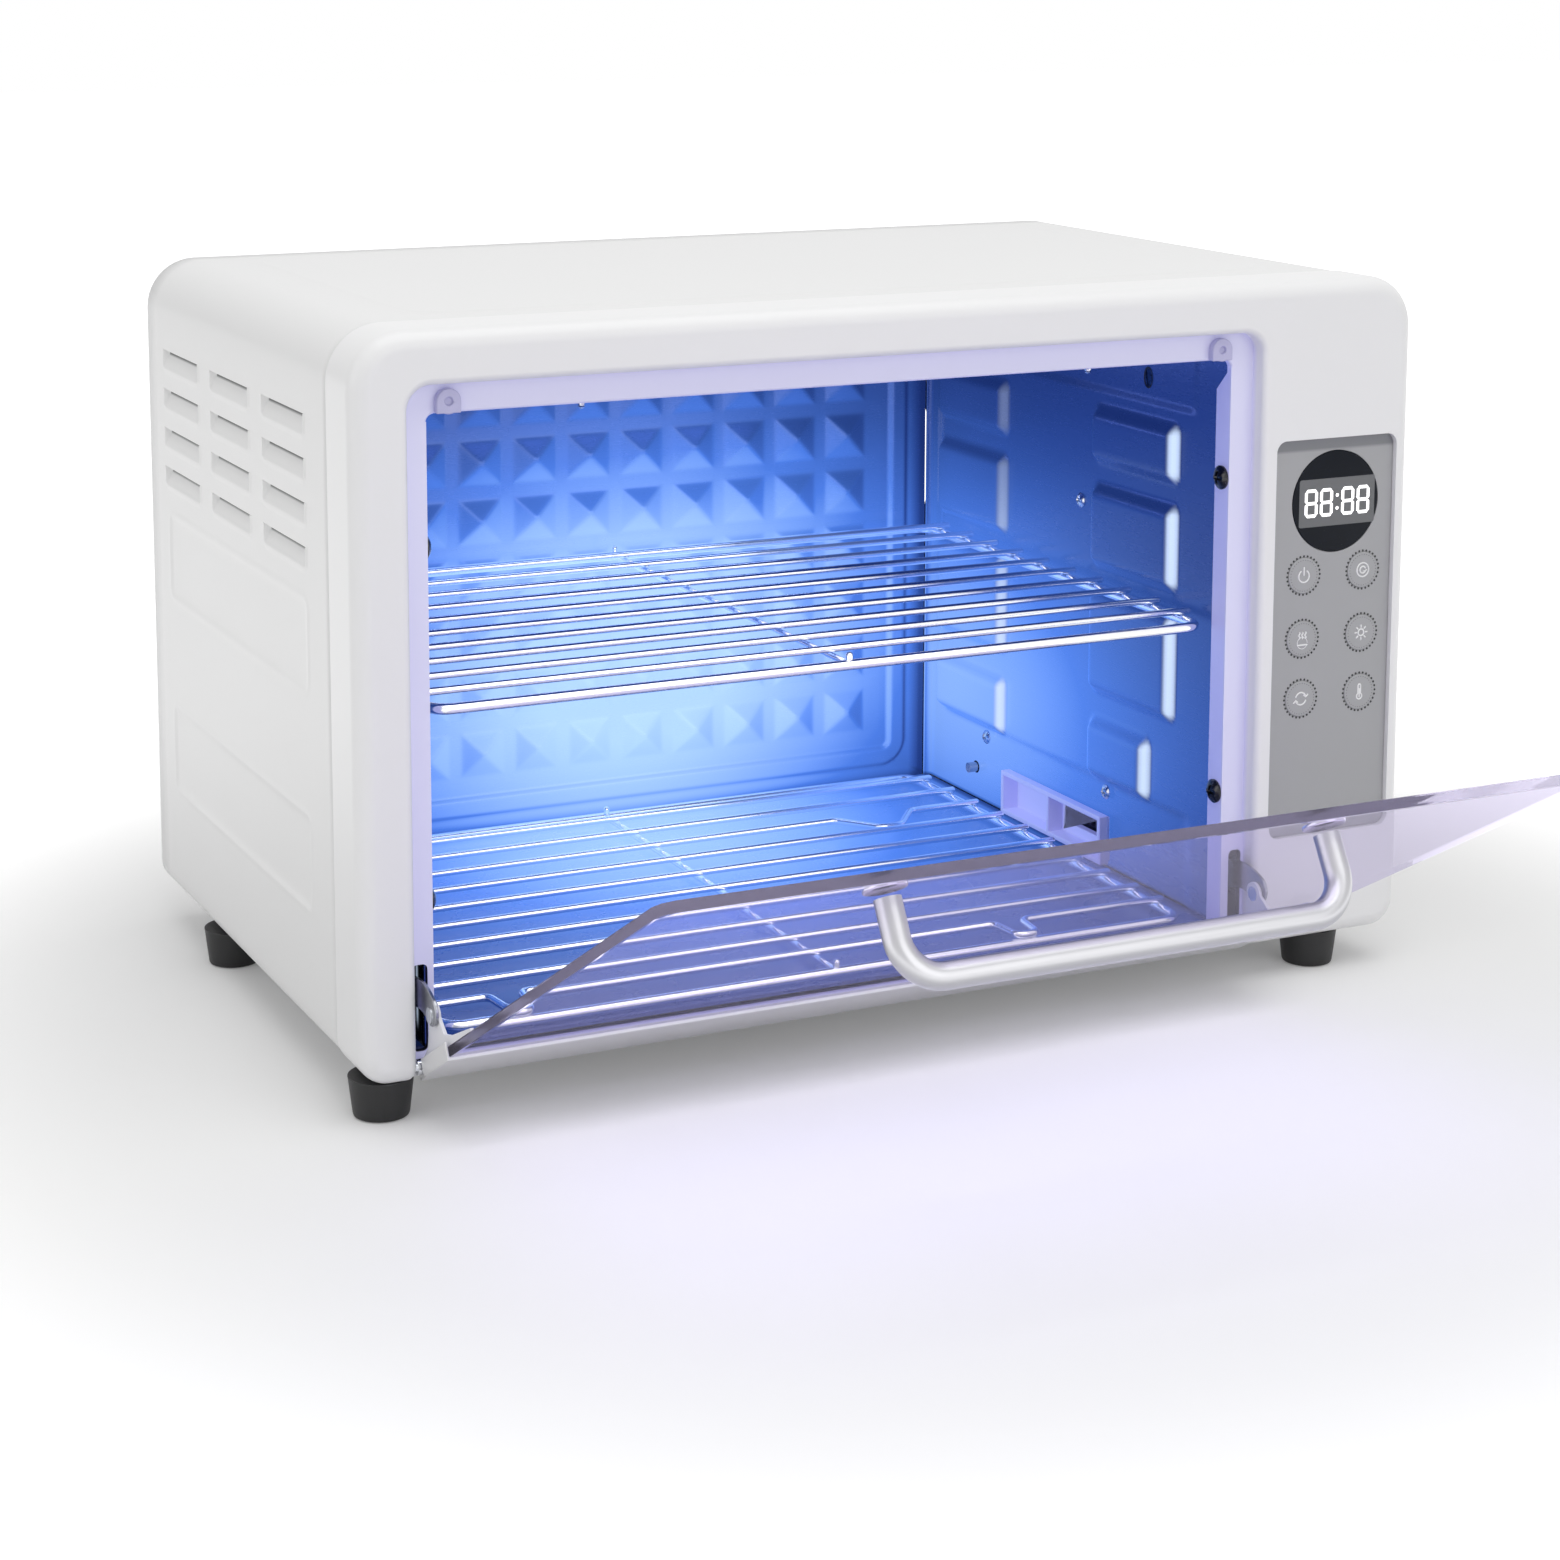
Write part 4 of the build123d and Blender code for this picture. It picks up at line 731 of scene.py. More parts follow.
def lit_sheet(name, centre, reach, lamp, gain, bite=1.0, flood=0.9):
    """Bright embossed sheet, lit blue from within the cavity by painted light, with painted highlights on
    its slopes and painted shade where it turns from the lamp.
    """
    def build(tree, shader):
        chosen = settings().cavity
        glow = use_group(tree, cavity_glow(), Centre=corner_of(*centre), Reach=reach, Lamp=corner_of(*lamp),
                         Gain=gain, Bite=bite, Flood=flood)
        # Painted light of the cavity, with painted highlights where the glint marks the slopes
        light = blend_colours(tree, point_value(tree, "glint"), glow["Color"], (0.62, 0.76, 0.98, 1.0))
        feed(tree, shader.inputs["Emission Color"], light)
        # Liner colour darkened and tinted blue: painted shade and painted blue light of the dim cavity
        metal = toned(tree, chosen.shaded_sheet_colour, 22.0, 0.10)
        # Painted shade: near black base colour where the sheet turns away from the cavity's lamp
        ground = blend_colours(tree, glow["Lit_Side"], (0.004, 0.004, 0.006, 1.0), metal)
        feed(tree, shader.inputs["Base Color"], ground)
        roughen(tree, shader, 0.27, 0.12, 60.0, (1.0, 1.0, 6.0), 0.05, 0.2)
        set_inputs(shader, Emission_Strength=chosen.glow_strength, Metallic=0.85)
    return material_named(name, build)


def side_sheet():
    """Sheet of the side walls."""
    return lit_sheet("lit_side_sheet", (175, 225, 50), (0.180, 0.200, 0.085), LIGHT_PLACE, 1.3)


def level_sheet():
    """Sheet of the cavity's floor and ceiling."""
    return lit_sheet("lit_level_sheet", (185, 225, 50), (0.170, 0.190, 0.085), LIGHT_PLACE, 1.0)


def back_sheet():
    """Sheet of the back wall, where the light comes from low down and picks out the pyramids."""
    return lit_sheet("lit_back_sheet", (195, 225, 72), (0.155, 0.172, 0.098), BACK_LIGHT_PLACE, 1.15,
                     bite=1.3, flood=0.6)


def white_moulding():
    """White moulding with soft gloss: painted lilac light beside the lit opening, painted black shade in
    the arms' slots.
    """
    def build(tree, shader):
        chosen = settings().shell
        # Painted light: lilac from the lit cavity round the opening, in the base colour and as glow
        inside = box_mask(tree, (14, 4.5, 3), (331, 40, 222), 0.004)
        # Painted shade: black inside the stay arms' slots
        slots = [box_mask(tree, (x - 0.3, SLOT_FACE, SLOT_LOW), (x + SLOT_WIDTH, 60, SLOT_HIGH), 0.0002)
                 for x in SLOT_STARTS]
        dark = calculate(tree, "ADD", *slots, clamp=True)
        white = toned(tree, chosen.frame_colour, 9.0, 0.02)
        tint = blend_colours(tree, inside, white, (0.66, 0.66, 0.84, 1.0))
        feed(tree, shader.inputs["Base Color"], blend_colours(tree, dark, tint, (0.006, 0.006, 0.008, 1.0)))
        glow = blend_colours(tree, inside, BLACK, (0.10, 0.09, 0.34, 1.0))
        feed(tree, shader.inputs["Emission Color"], blend_colours(tree, dark, glow, BLACK))
        roughen(tree, shader, 0.30, 0.10, 1500.0, relief=0.012, strength=0.25)
        set_inputs(shader, Emission_Strength=settings().cavity.lip_glow)
    return material_named("white_moulding", build)


def white_paint():
    """White coat on sheet: fine orange peel, with painted shade where the louvres open at the top."""
    def build(tree, shader):
        white = toned(tree, settings().shell.paint_colour, 8.0, 0.02)
        # Painted shade: near black along the louvres' open tops
        coat = blend_colours(tree, point_value(tree, "slit_shade"), white, (0.06, 0.06, 0.065, 1.0))
        feed(tree, shader.inputs["Base Color"], coat)
        roughen(tree, shader, 0.36, 0.12, 700.0, relief=0.02, strength=0.3)
    return material_named("white_paint", build)


def lit_part(name, base, centre, reach, glow_colours, strength, roughness, swing, scale, metallic):
    """A small part in the cavity that carries some of its light; the glow goes from far to near."""
    def build(tree, shader):
        far, middle, near = [(*tone, 1.0) for tone in glow_colours]
        glow = use_group(tree, cavity_glow(), Centre=corner_of(*centre), Reach=reach,
                         Lamp=corner_of(*LIGHT_PLACE), Far_Color=far, Middle_Color=middle, Near_Color=near)
        feed(tree, shader.inputs["Emission Color"], glow["Color"])
        feed(tree, shader.inputs["Base Color"], toned(tree, base, 30.0, 0.08))
        roughen(tree, shader, roughness, swing, scale)
        set_inputs(shader, Emission_Strength=strength, Metallic=metallic)
    return material_named(name, build)


def vent_moulding():
    """White moulding low in the cavity, tinted by its light."""
    colours = ((0.10, 0.10, 0.45), (0.30, 0.34, 0.80), (0.60, 0.68, 1.00))
    return lit_part("vent_moulding", (0.55, 0.53, 0.72), (175, 225, 55), (0.26, 0.26, 0.2), colours,
                    strength=0.45, roughness=0.35, swing=0.08, scale=900.0, metallic=0.0)


def plated_wire():
    """Bright plated wire that carries some of the cavity's blue light."""
    colours = ((0.02, 0.03, 0.10), (0.20, 0.32, 0.75), (0.55, 0.75, 1.00))
    return lit_part("plated_wire", (0.95, 0.96, 0.98), (175, 200, 90), (0.20, 0.22, 0.12), colours,
                    strength=0.25, roughness=0.16, swing=0.12, scale=400.0, metallic=1.0)


def door_pane():
    """Tinted pane with a slight haze; it lets plain light through to what lies behind it."""
    def build(tree, shader):
        feed(tree, shader.inputs["Base Color"], toned(tree, settings().door.glass_tint, 10.0, 0.04))
        roughen(tree, shader, 0.02, 0.02, 25.0)
        set_inputs(shader, Transmission_Weight=0.94, IOR=1.02)
        clear = add_node(tree, "ShaderNodeBsdfTransparent")
        clear.inputs["Color"].default_value = (0.76, 0.76, 0.79, 1.0)
        path = add_node(tree, "ShaderNodeLightPath")
        mix = add_node(tree, "ShaderNodeMixShader")
        parts = (path.outputs["Is Shadow Ray"], shader.outputs[0], clear.outputs[0])
        for socket, part in zip(mix.inputs, parts):
            feed(tree, socket, part)
        feed(tree, tree.nodes["Material Output"].inputs["Surface"], mix.outputs[0])
    return material_named("door_pane", build)


def glowing(name, tone, strength):
    """A surface that gives light, a little uneven."""
    def build(tree, shader):
        feed(tree, shader.inputs["Emission Color"], toned(tree, tone, 120.0, 0.10))
        set_inputs(shader, Emission_Strength=strength, Base_Color=(0.8, 0.8, 0.8, 1.0), Roughness=0.3)
    return material_named(name, build)


# Pieces

def louvre_depth(y, z):
    """Depth of the pressed louvres, growing from the lower edge to the opening at the top, and the band
    where painted shade marks that opening.
    """
    centre = np.abs(y[..., None] - LOUVRE_COLUMNS).min(-1)
    to_end = LOUVRE_LENGTH / 2 - centre
    row = np.abs(z[..., None] - (LOUVRE_TOPS - LOUVRE_HEIGHT / 2)).argmin(-1)
    rise = z - (LOUVRE_TOPS[row] - LOUVRE_HEIGHT)
    inside = (to_end > 0) & (rise > 0) & (rise < LOUVRE_HEIGHT - 0.05)
    deepest = settings().shell.louvre_depth / MM
    slope = soft_floor(rise - 0.6, 0.8) * deepest / (LOUVRE_HEIGHT - 1.0)
    depth = np.minimum(np.minimum(slope, to_end * 0.95), deepest)
    below = np.exp(-((rise + 0.3) / LOUVRE_LIP_WIDTH) ** 2) * smooth((to_end + 1.0) / 3.0)
    beside = np.exp(-((to_end + 0.3) / LOUVRE_LIP_WIDTH) ** 2) * ((rise > 0) & (rise < LOUVRE_HEIGHT))
    lip = LOUVRE_LIP * (below + beside)
    # Painted shade mask: the top band of each louvre, where it opens
    cut = inside & (rise > LOUVRE_HEIGHT - LOUVRE_SLIT_SHADE) & (to_end > 2.5)
    return np.where(inside, depth, 0.0) - np.minimum(lip, 0.32), cut


def side_relief(y, z):
    """How far the shell's side stands out: minus the louvres, plus a low bead round each pressed field."""
    depth, slit_shade = louvre_depth(y, z)
    bead = np.zeros_like(y)
    for low, high in PRESSED_FIELDS:
        edge = box_distance(y, z, FIELD_FRONT, FIELD_BACK, low, high, FIELD_CORNER)
        bead = bead + settings().shell.bead_height / MM * np.exp(-(edge / 1.3) ** 2)
        bead = bead - 0.25 * smooth(-edge / 4.0)
    return bead - depth, slit_shade


def shell_section():
    """Half of the wrap's section from its lower flange to the middle of the top, with outward normals."""
    flange = np.linspace(FLANGE_REACH, SHELL_INSET + BOTTOM_RADIUS, 4)[:-1]
    low = np.radians(np.linspace(270, 180, 9))
    low_r = BOTTOM_RADIUS - SHELL_INSET
    louvre_lines = (LOUVRE_TOPS - LOUVRE_HEIGHT)[:, None] + np.array(
        [-2.6, -1.7, -0.8, 0.0, 0.4, 0.9, 1.6, 2.6, 3.6, 4.6, 5.3, 5.6, 6.1, 6.44, 6.5, 7.1])
    near_field = np.array([-4, -2.6, -1.8, -1.2, -0.6, 0, 0.6, 1.2, 1.8, 2.6, 4, 5.5, 7, 9])
    field_lines = [border + side * near_field for low_z, high_z in PRESSED_FIELDS
                   for border, side in ((low_z, 1), (high_z, -1))]
    side = lines(louvre_lines, *field_lines, [12, 20, 30, 84, 93, 102, 208, 212])
    side = side[(side > BOTTOM_RADIUS + 0.5) & (side < HEIGHT - TOP_RADIUS - 0.5)]
    high = np.radians(np.linspace(180, 90, 13))
    high_r = TOP_RADIUS - SHELL_INSET
    top = lines(PLATEAU[0] + PLATEAU_SLOPE, [22, 26, 60, 90, 130, 160, WIDTH / 2])
    still = np.ones_like
    x = np.concatenate([flange, BOTTOM_RADIUS + low_r * np.cos(low), SHELL_INSET * still(side),
                        TOP_RADIUS + high_r * np.cos(high), top])
    z = np.concatenate([SHELL_INSET * still(flange), BOTTOM_RADIUS + low_r * np.sin(low), side,
                        HEIGHT - TOP_RADIUS + high_r * np.sin(high), (HEIGHT - SHELL_INSET) * still(top)])
    normal_x = np.concatenate([0 * flange, np.cos(low), -still(side), np.cos(high), 0 * top])
    normal_z = np.concatenate([-still(flange), np.sin(low), 0 * side, np.sin(high), still(top)])
    on_side = np.concatenate([0 * flange, 0 * low, still(side), 0 * high, 0 * top])
    return x, z, normal_x, normal_z, on_side


def build_outer_shell():
    """The wrap: its section carried back along the depth, moved along its normal by the side relief."""
    x, z, normal_x, normal_z, on_side = shell_section()
    x = np.concatenate([x, WIDTH - x[-2::-1]])
    normal_x = np.concatenate([normal_x, -normal_x[-2::-1]])
    z, normal_z, on_side = [np.concatenate([half, half[-2::-1]]) for half in (z, normal_z, on_side)]
    on_top = z > HEIGHT - SHELL_INSET - 0.01
    from_end = np.array([-2.6, -1.7, -0.8, 0, 0.6, 1.4, 2.4, 3.4, 4.4, 6, 10])
    starts = LOUVRE_COLUMNS - LOUVRE_LENGTH / 2
    ends = LOUVRE_COLUMNS + LOUVRE_LENGTH / 2
    near_field = np.array([-2.6, -1.2, 0, 1.2, 2.6, 4, 6, 9])
    y = lines([SHELL_START, 30, 38, SHELL_END, 225], starts[:, None] + from_end, ends[:, None] - from_end,
              LOUVRE_COLUMNS, FIELD_FRONT + near_field, FIELD_BACK - near_field,
              PLATEAU[2] + PLATEAU_SLOPE, PLATEAU[3] - PLATEAU_SLOPE)
    grid_y, grid_z = np.meshgrid(y, z, indexing="ij")
    relief, slit_shade = side_relief(grid_y, grid_z)
    plateau = box_distance(x[None], grid_y, *PLATEAU, PLATEAU_CORNER)
    relief = relief * on_side + settings().shell.plateau_height / MM * smooth(-plateau / 3.0) * on_top
    points = place(x + relief * normal_x, grid_y, z + relief * normal_z)
    piece = new_piece("outer_shell_sheet", sheet(points), "cabinet", white_paint(), ("outer_shell",),
                      facing=(0, 0, 1), sharp=50.0)
    # Marks the painted shade along the louvres' open tops
    mark_points(piece, "slit_shade", slit_shade & (on_side > 0))
    add_thickness(piece, SHELL_SHEET)


def wall_relief(y, z):
    """How far a side wall stands into the cavity: sloped fields, a sunk border and a round corner."""
    height = settings().cavity.emboss_height / MM
    border = box_distance(y, z, *WALL_BORDER, WALL_BORDER_CORNER)
    relief = -0.9 * smooth(border / 2.4) * smooth((y - 28) / 8)
    for low, high in EMBOSS_ROWS:
        front = EMBOSS_LOWEST_FRONT if (low, high) == EMBOSS_ROWS[-1] else EMBOSS_FRONT
        for near, far in (front, EMBOSS_BACK):
            away = box_distance(y, z, near, far, low, high, 1.0)
            slope = 1 - soft_floor(away + 0.3, 0.5) / height
            relief = relief + height * soft_floor(slope, 0.04) * (away < height + 1.5)
    into_corner = np.clip(y - (CAVITY_BACK - CAVITY_CORNER), 0, CAVITY_CORNER)
    return relief + CAVITY_CORNER - np.sqrt(CAVITY_CORNER ** 2 - into_corner ** 2)


def field_glint(relief, y, z, slope):
    """Painted highlight on the front slopes: fullest half way up a slope, and fading upwards in the rear
    column; also a thin painted highlight line near the wall's front edge.
    """
    share = np.clip(relief / (settings().cavity.emboss_height / MM), 0, 1)
    shine = np.clip(slope / 0.9, 0, 1) ** 2 * np.clip(4 * share * (1 - share), 0, 1) ** 0.6
    rear = smooth((y - 120) / 40) * smooth((z - 60) / 110)
    # Painted highlight line near the wall's front edge
    border = 0.5 * np.exp(-((y - 15.0) / 0.8) ** 2) * smooth((z - 12) / 6) * smooth((190 - z) / 20)
    return shine * (1 - 0.85 * rear) * (y < CAVITY_BACK - 10) + border


def build_side_walls():
    """Both pressed side walls of the cavity."""
    round_corner = CAVITY_BACK - CAVITY_CORNER + CAVITY_CORNER * np.sin(np.radians(np.linspace(0, 90, 10)))
    y = lines(np.arange(CAVITY_FRONT, CAVITY_BACK - CAVITY_CORNER, 1.5), round_corner, VENT_HOLE[:2],
              np.arange(12.6, 17.5, 0.6), np.arange(39.4, 45, 0.8), np.arange(55, 60.5, 0.8),
              np.arange(160.6, 166.5, 0.8))
    z = lines(np.arange(CAVITY_FLOOR, CAVITY_CEILING, 1.3), [CAVITY_CEILING], VENT_HOLE[2:])
    grid_y, grid_z = np.meshgrid(y, z, indexing="ij")
    relief = wall_relief(grid_y, grid_z)
    glint = field_glint(relief, grid_y, grid_z, np.gradient(relief, y, axis=0))
    quads = grid_faces(len(y), len(z))
    middle_y = grid_y.ravel()[quads].mean(1)
    middle_z = grid_z.ravel()[quads].mean(1)
    in_hole = ((middle_y > VENT_HOLE[0]) & (middle_y < VENT_HOLE[1])
               & (middle_z > VENT_HOLE[2]) & (middle_z < VENT_HOLE[3]))
    for side, wall, inward, kept in (("left", CAVITY_LEFT, 1, quads),
                                     ("right", CAVITY_RIGHT, -1, quads[~in_hole])):
        points = place(wall + inward * relief, grid_y, grid_z).reshape(-1, 3)
        used, faces = np.unique(kept, return_inverse=True)
        piece = new_piece(f"liner_{side}_sheet", (points[used], faces.reshape(-1, 4).tolist()), "cabinet",
                          side_sheet(), (f"liner_{side}",), (inward, 0, 0), sharp=60.0)
        # Marks the painted highlights on the slopes
        mark_points(piece, "glint", glint.ravel()[used])
        add_thickness(piece, LINER_SHEET)


def pyramid_height(x, z):
    """Four-sided pyramids on a square pitch: the height falls with the larger of the two distances."""
    across = np.mod(x - PYRAMID_MIDDLE_X + PYRAMID_PITCH_X / 2, PYRAMID_PITCH_X) - PYRAMID_PITCH_X / 2
    up = np.mod(z - PYRAMID_LOWEST_Z + PYRAMID_PITCH_Z / 2, PYRAMID_PITCH_Z) - PYRAMID_PITCH_Z / 2
    a = np.abs(across)
    b = np.abs(up)
    larger = 0.5 * (a + b + np.sqrt((a - b) ** 2 + 0.3))
    slope = settings().cavity.pyramid_height / MM * (1 - larger / PYRAMID_HALF)
    covered = (np.abs(x - PYRAMID_MIDDLE_X) < 5.5 * PYRAMID_PITCH_X) & (z > PYRAMID_LOWEST_Z - 11)
    return np.where(covered, soft_floor(slope, 0.35), 0.17)


def build_back_wall():
    """The back wall: pyramids inside a half-round bead frame, with its quads split along the ridges."""
    half = np.array([0, 1.5, 3, 4.5, 6, 7.2, 8, 8.5, 9, 9.7])
    offsets = np.concatenate([-half[1:], half])
    bead_lines = np.arange(-6, 9, 0.75)
    left = CAVITY_LEFT + CAVITY_CORNER
    right = CAVITY_RIGHT - CAVITY_CORNER
    x = lines(PYRAMID_MIDDLE_X + PYRAMID_PITCH_X * np.arange(-5, 6)[:, None] + offsets,
              BEAD_FRAME[0] + bead_lines, BEAD_FRAME[1] - bead_lines, [left, right])
    x = x[(x >= left) & (x <= right)]
    z = lines(PYRAMID_LOWEST_Z + PYRAMID_PITCH_Z * np.arange(0, 8)[:, None] + offsets,
              BEAD_FRAME[2] + bead_lines, [CAVITY_FLOOR, CAVITY_CEILING])
    z = z[(z >= CAVITY_FLOOR) & (z <= CAVITY_CEILING)]
    grid_x, grid_z = np.meshgrid(x, z, indexing="ij")
    edge = box_distance(grid_x, grid_z, *BEAD_FRAME, BEAD_CORNER)
    bead = BEAD_HEIGHT * smooth((4.4 - np.abs(edge)) / 1.8)
    points = place(grid_x, CAVITY_BACK - pyramid_height(grid_x, grid_z) - bead, grid_z)
    quads = grid_faces(len(x), len(z))
    middle = points.reshape(-1, 3)[quads].mean(1)
    turn = 2 * math.pi / MM
    across = np.sin(turn * (middle[:, 0] - place(PYRAMID_MIDDLE_X, 0, 0)[0]) / PYRAMID_PITCH_X)
    up = np.sin(turn * (middle[:, 2] - place(0, 0, PYRAMID_LOWEST_Z)[2]) / PYRAMID_PITCH_Z)
    same = (across * up >= 0)[:, None]
    first = np.where(same, quads[:, [0, 1, 2]], quads[:, [0, 1, 3]])
    second = np.where(same, quads[:, [0, 2, 3]], quads[:, [1, 2, 3]])
    faces = np.concatenate([first, second]).tolist()
    piece = new_piece("liner_back_sheet", (points.reshape(-1, 3), faces), "cabinet",
                      back_sheet(), ("liner_back",), facing=(0, -1, 0), sharp=80.0)
    add_thickness(piece, LINER_SHEET)


def build_floor_and_ceiling():
    """The cavity's floor and ceiling, each with a shallow tray pressed into it."""
    x = lines(np.arange(CAVITY_LEFT, CAVITY_RIGHT, 4.0), [CAVITY_RIGHT])
    y = lines(np.arange(CAVITY_FRONT, CAVITY_BACK, 4.0), [CAVITY_BACK])
    grid_x, grid_y = np.meshgrid(x, y, indexing="ij")
    tray = 0.5 * smooth(-box_distance(grid_x, grid_y, *TRAY, TRAY_CORNER) / 6)
    for side, height, facing in (("floor", CAVITY_FLOOR - 0.5 * tray, (0, 0, 1)),
                                 ("ceiling", CAVITY_CEILING + tray, (0, 0, -1))):
        piece = new_piece(f"liner_{side}_sheet", sheet(place(grid_x, grid_y, height)), "cabinet",
                          level_sheet(), (f"liner_{side}",), facing, sharp=60.0)
        add_thickness(piece, LINER_SHEET)


def build_wall_hole_shade():
    """Painted shade in the oval wire holes low and high on the right wall: dark ellipses at several depths.
    """
    shapes = []
    angle = np.linspace(0, 2 * math.pi, 28, endpoint=False)
    for y, z, wide, high in WIRE_HOLES:
        across = wide * np.cos(angle)
        up = high * np.sin(angle)
        ring = [place(CAVITY_RIGHT + depth, y + scale * across, z + scale * up)
                for depth, scale in ((0.95, 0.9), (0.72, 1.0), (0.72, 0.86), (0.9, 0.8))]
        shapes.append(sheet(np.stack(ring), close_columns=True, cap_first=True, cap_last=True))
    # Painted shade: near black in the holes, where they open into the dark behind the wall
    dark = plain_finish("hole_shadow", (0.010, 0.012, 0.03), 0.6)
    new_piece("wall_hole_shade", together(shapes), "cabinet", dark)


def cross_head(centre, axis, radius, height, arm=0.62, width=0.26):
    """A domed screw head with a cross sunk in it: the dome falls with the radius squared."""
    share = np.concatenate([np.linspace(0, 0.7, 12), [0.78, 0.86, 0.93, 0.97, 1.0, 1.0, 0.0]])
    angle = np.linspace(0, 2 * math.pi, 64, endpoint=False)
    r, turn = np.meshgrid(share, angle, indexing="ij")
    a = np.abs(r * np.cos(turn))
    b = np.abs(r * np.sin(turn))
    sunk = ((a < width / 2) & (b < arm)) | ((b < width / 2) & (a < arm))
    dome = height * (1 - 0.75 * r ** 2)
    level = np.where(sunk, dome - 0.5 * height * smooth((arm - r) / 0.25), dome)
    level[-2] = 0
    level[-1] = 0
    first, second = ring_axes(axis)
    outward = np.cos(turn)[..., None] * first + np.sin(turn)[..., None] * second
    points = centre + MM * level[..., None] * direction(axis) + MM * radius * r[..., None] * outward
    return sheet(points, close_columns=True)


def build_fasteners():
    """Cross-headed screws beside the opening, on the walls and under the top ledge."""
    black = plain_finish("black_oxide", (0.012, 0.012, 0.014), 0.22, metallic=0.6, coat=0.6)
    bright = plain_finish("bright_plating", (0.80, 0.82, 0.85), 0.16, metallic=1.0, scale=500.0)
    jamb = [cross_head(place(x, 11.5, z), (side, 0, 0), 4.2, 2.5)
            for x, side in JAMB_SCREW_SIDES for z in JAMB_SCREW_HEIGHTS]
    new_piece("jamb_screw_heads", together(jamb), "cabinet", black, ("jamb_screws",))
    walls = [cross_head(place(x, y, z), (side, 0, 0), 2.8, 1.9)
             for x, side in ((CAVITY_LEFT, 1), (CAVITY_RIGHT, -1)) for y, z in WALL_SCREWS]
    tip = ((0, 6.5), (1.2, 6.5), (1.2, 1.2), (0.9, 0.7), (1.2, 0.4), (0.8, 0), (0, -0.5))
    tips = [turned(place(x, y, LEDGE_UNDERSIDE), (0, 0, 1), tip, 18) for x, y in LEDGE_SCREWS]
    new_piece("liner_screw_heads", together(walls + tips), "cabinet", bright, ("liner_screws",))


def rack_hoop(x0, x1, y0, y1, z):
    """A rack's round bar, bent into a hoop with rounded corners."""
    rail = settings().rack.rail_radius
    corners = place([x0, x1, x1, x0], [y0, y0, y1, y1], z)
    return tube(bent(corners, HOOP_BEND * MM, 9, closed=True), rail, (0, 0, 1), closed=True)


def level_wire(points, z, bend=3.0):
    """A rack wire through level points."""
    points = np.asarray(points, float)
    path = bent(place(points[:, 0], points[:, 1], z), bend * MM, 7)
    return tube(path, settings().rack.wire_radius, (0, 0, 1), sides=12)


def lengthwise_wire(x, y0, y1, z):
    """The wire from front to back under the others, with both ends turned up round the hoop."""
    corners = place(x, [y0 - 0.4, y0 - 0.4, y1 + 0.4, y1 + 0.4], [z + 3.1, z + 0.1, z + 0.1, z + 3.1])
    return tube(bent(corners, 1.6 * MM, 6), settings().rack.wire_radius * 0.95, (1, 0, 0), sides=12)


def build_racks():
    """Both wire racks."""
    lift = (settings().rack.rail_radius + settings().rack.wire_radius) / MM
    wire = plated_wire()
    places = WIRE_FIRST + WIRE_PITCH * np.arange(WIRE_COUNT)
    upper = together([rack_hoop(*UPPER_HOOP, UPPER_RAIL_Z),
                      lengthwise_wire(*UPPER_LENGTHWISE, UPPER_RAIL_Z)])
    new_piece("upper_rack_hoop", upper, "upper_rack", wire, ("upper_rack",))
    left, right = UPPER_WIRE_ENDS
    wires = [level_wire(((left, y), (right, y)), UPPER_RAIL_Z + lift) for y in places]
    new_piece("upper_rack_cross_wires", together(wires), "upper_rack", wire, ("upper_rack_wires",))
    lower = together([rack_hoop(*LOWER_HOOP, LOWER_RAIL_Z),
                      lengthwise_wire(*LOWER_LENGTHWISE, LOWER_RAIL_Z)])
    new_piece("lower_rack_hoop", lower, "lower_rack", wire, ("lower_rack",))
    left, right = LOWER_WIRE_ENDS
    straight = [level_wire(((left, places[step]), (right, places[step])), LOWER_RAIL_Z + lift)
                for step in range(1, WIRE_COUNT) if step != DIPPED_WIRE]
    front_y = WIRE_FIRST + 3
    back_y = places[DIPPED_WIRE]
    front = ((left, front_y), (53, front_y), (54.5, DIP_Y), (62.5, DIP_Y), (64, front_y), (240, front_y),
             (241.5, DIP_Y), (249.5, DIP_Y), (251, front_y), (right, front_y))
    back = ((left, back_y), (246, back_y), (258, back_y - 15.5), (267, back_y - 15.5), (279, back_y),
            (right, back_y))
    kinked = [level_wire(front, LOWER_RAIL_Z + lift, 3.2), level_wire(back, LOWER_RAIL_Z + lift, 5.0)]
    new_piece("lower_rack_cross_wires", together(straight + kinked), "lower_rack", wire,
              ("lower_rack_wires",))


def build_door_glass():
    """The pane: its outline drawn at several heights through the glass, smaller at both faces."""
    rings = []
    for inset, n in ((1.1, GLASS_OUTER), (0.4, GLASS_OUTER + 0.15), (0.0, GLASS_OUTER + 0.7),
                     (0.0, GLASS_INNER - 0.7), (0.4, GLASS_INNER - 0.15), (1.1, GLASS_INNER)):
        radii = np.array([0.6, 0.6, GLASS_CORNER, GLASS_CORNER])
        x, u = rounded_loop(GLASS_LEFT + inset, GLASS_RIGHT - inset, GLASS_START + inset,
                            GLASS_END - inset, radii, steps=3)
        rings.append(door_place(x, u, n))
    shape = sheet(np.stack(rings), close_columns=True, cap_first=True, cap_last=True)
    new_piece("door_glass_pane", shape, "door", door_pane(), ("door_glass",), sharp=5.0)


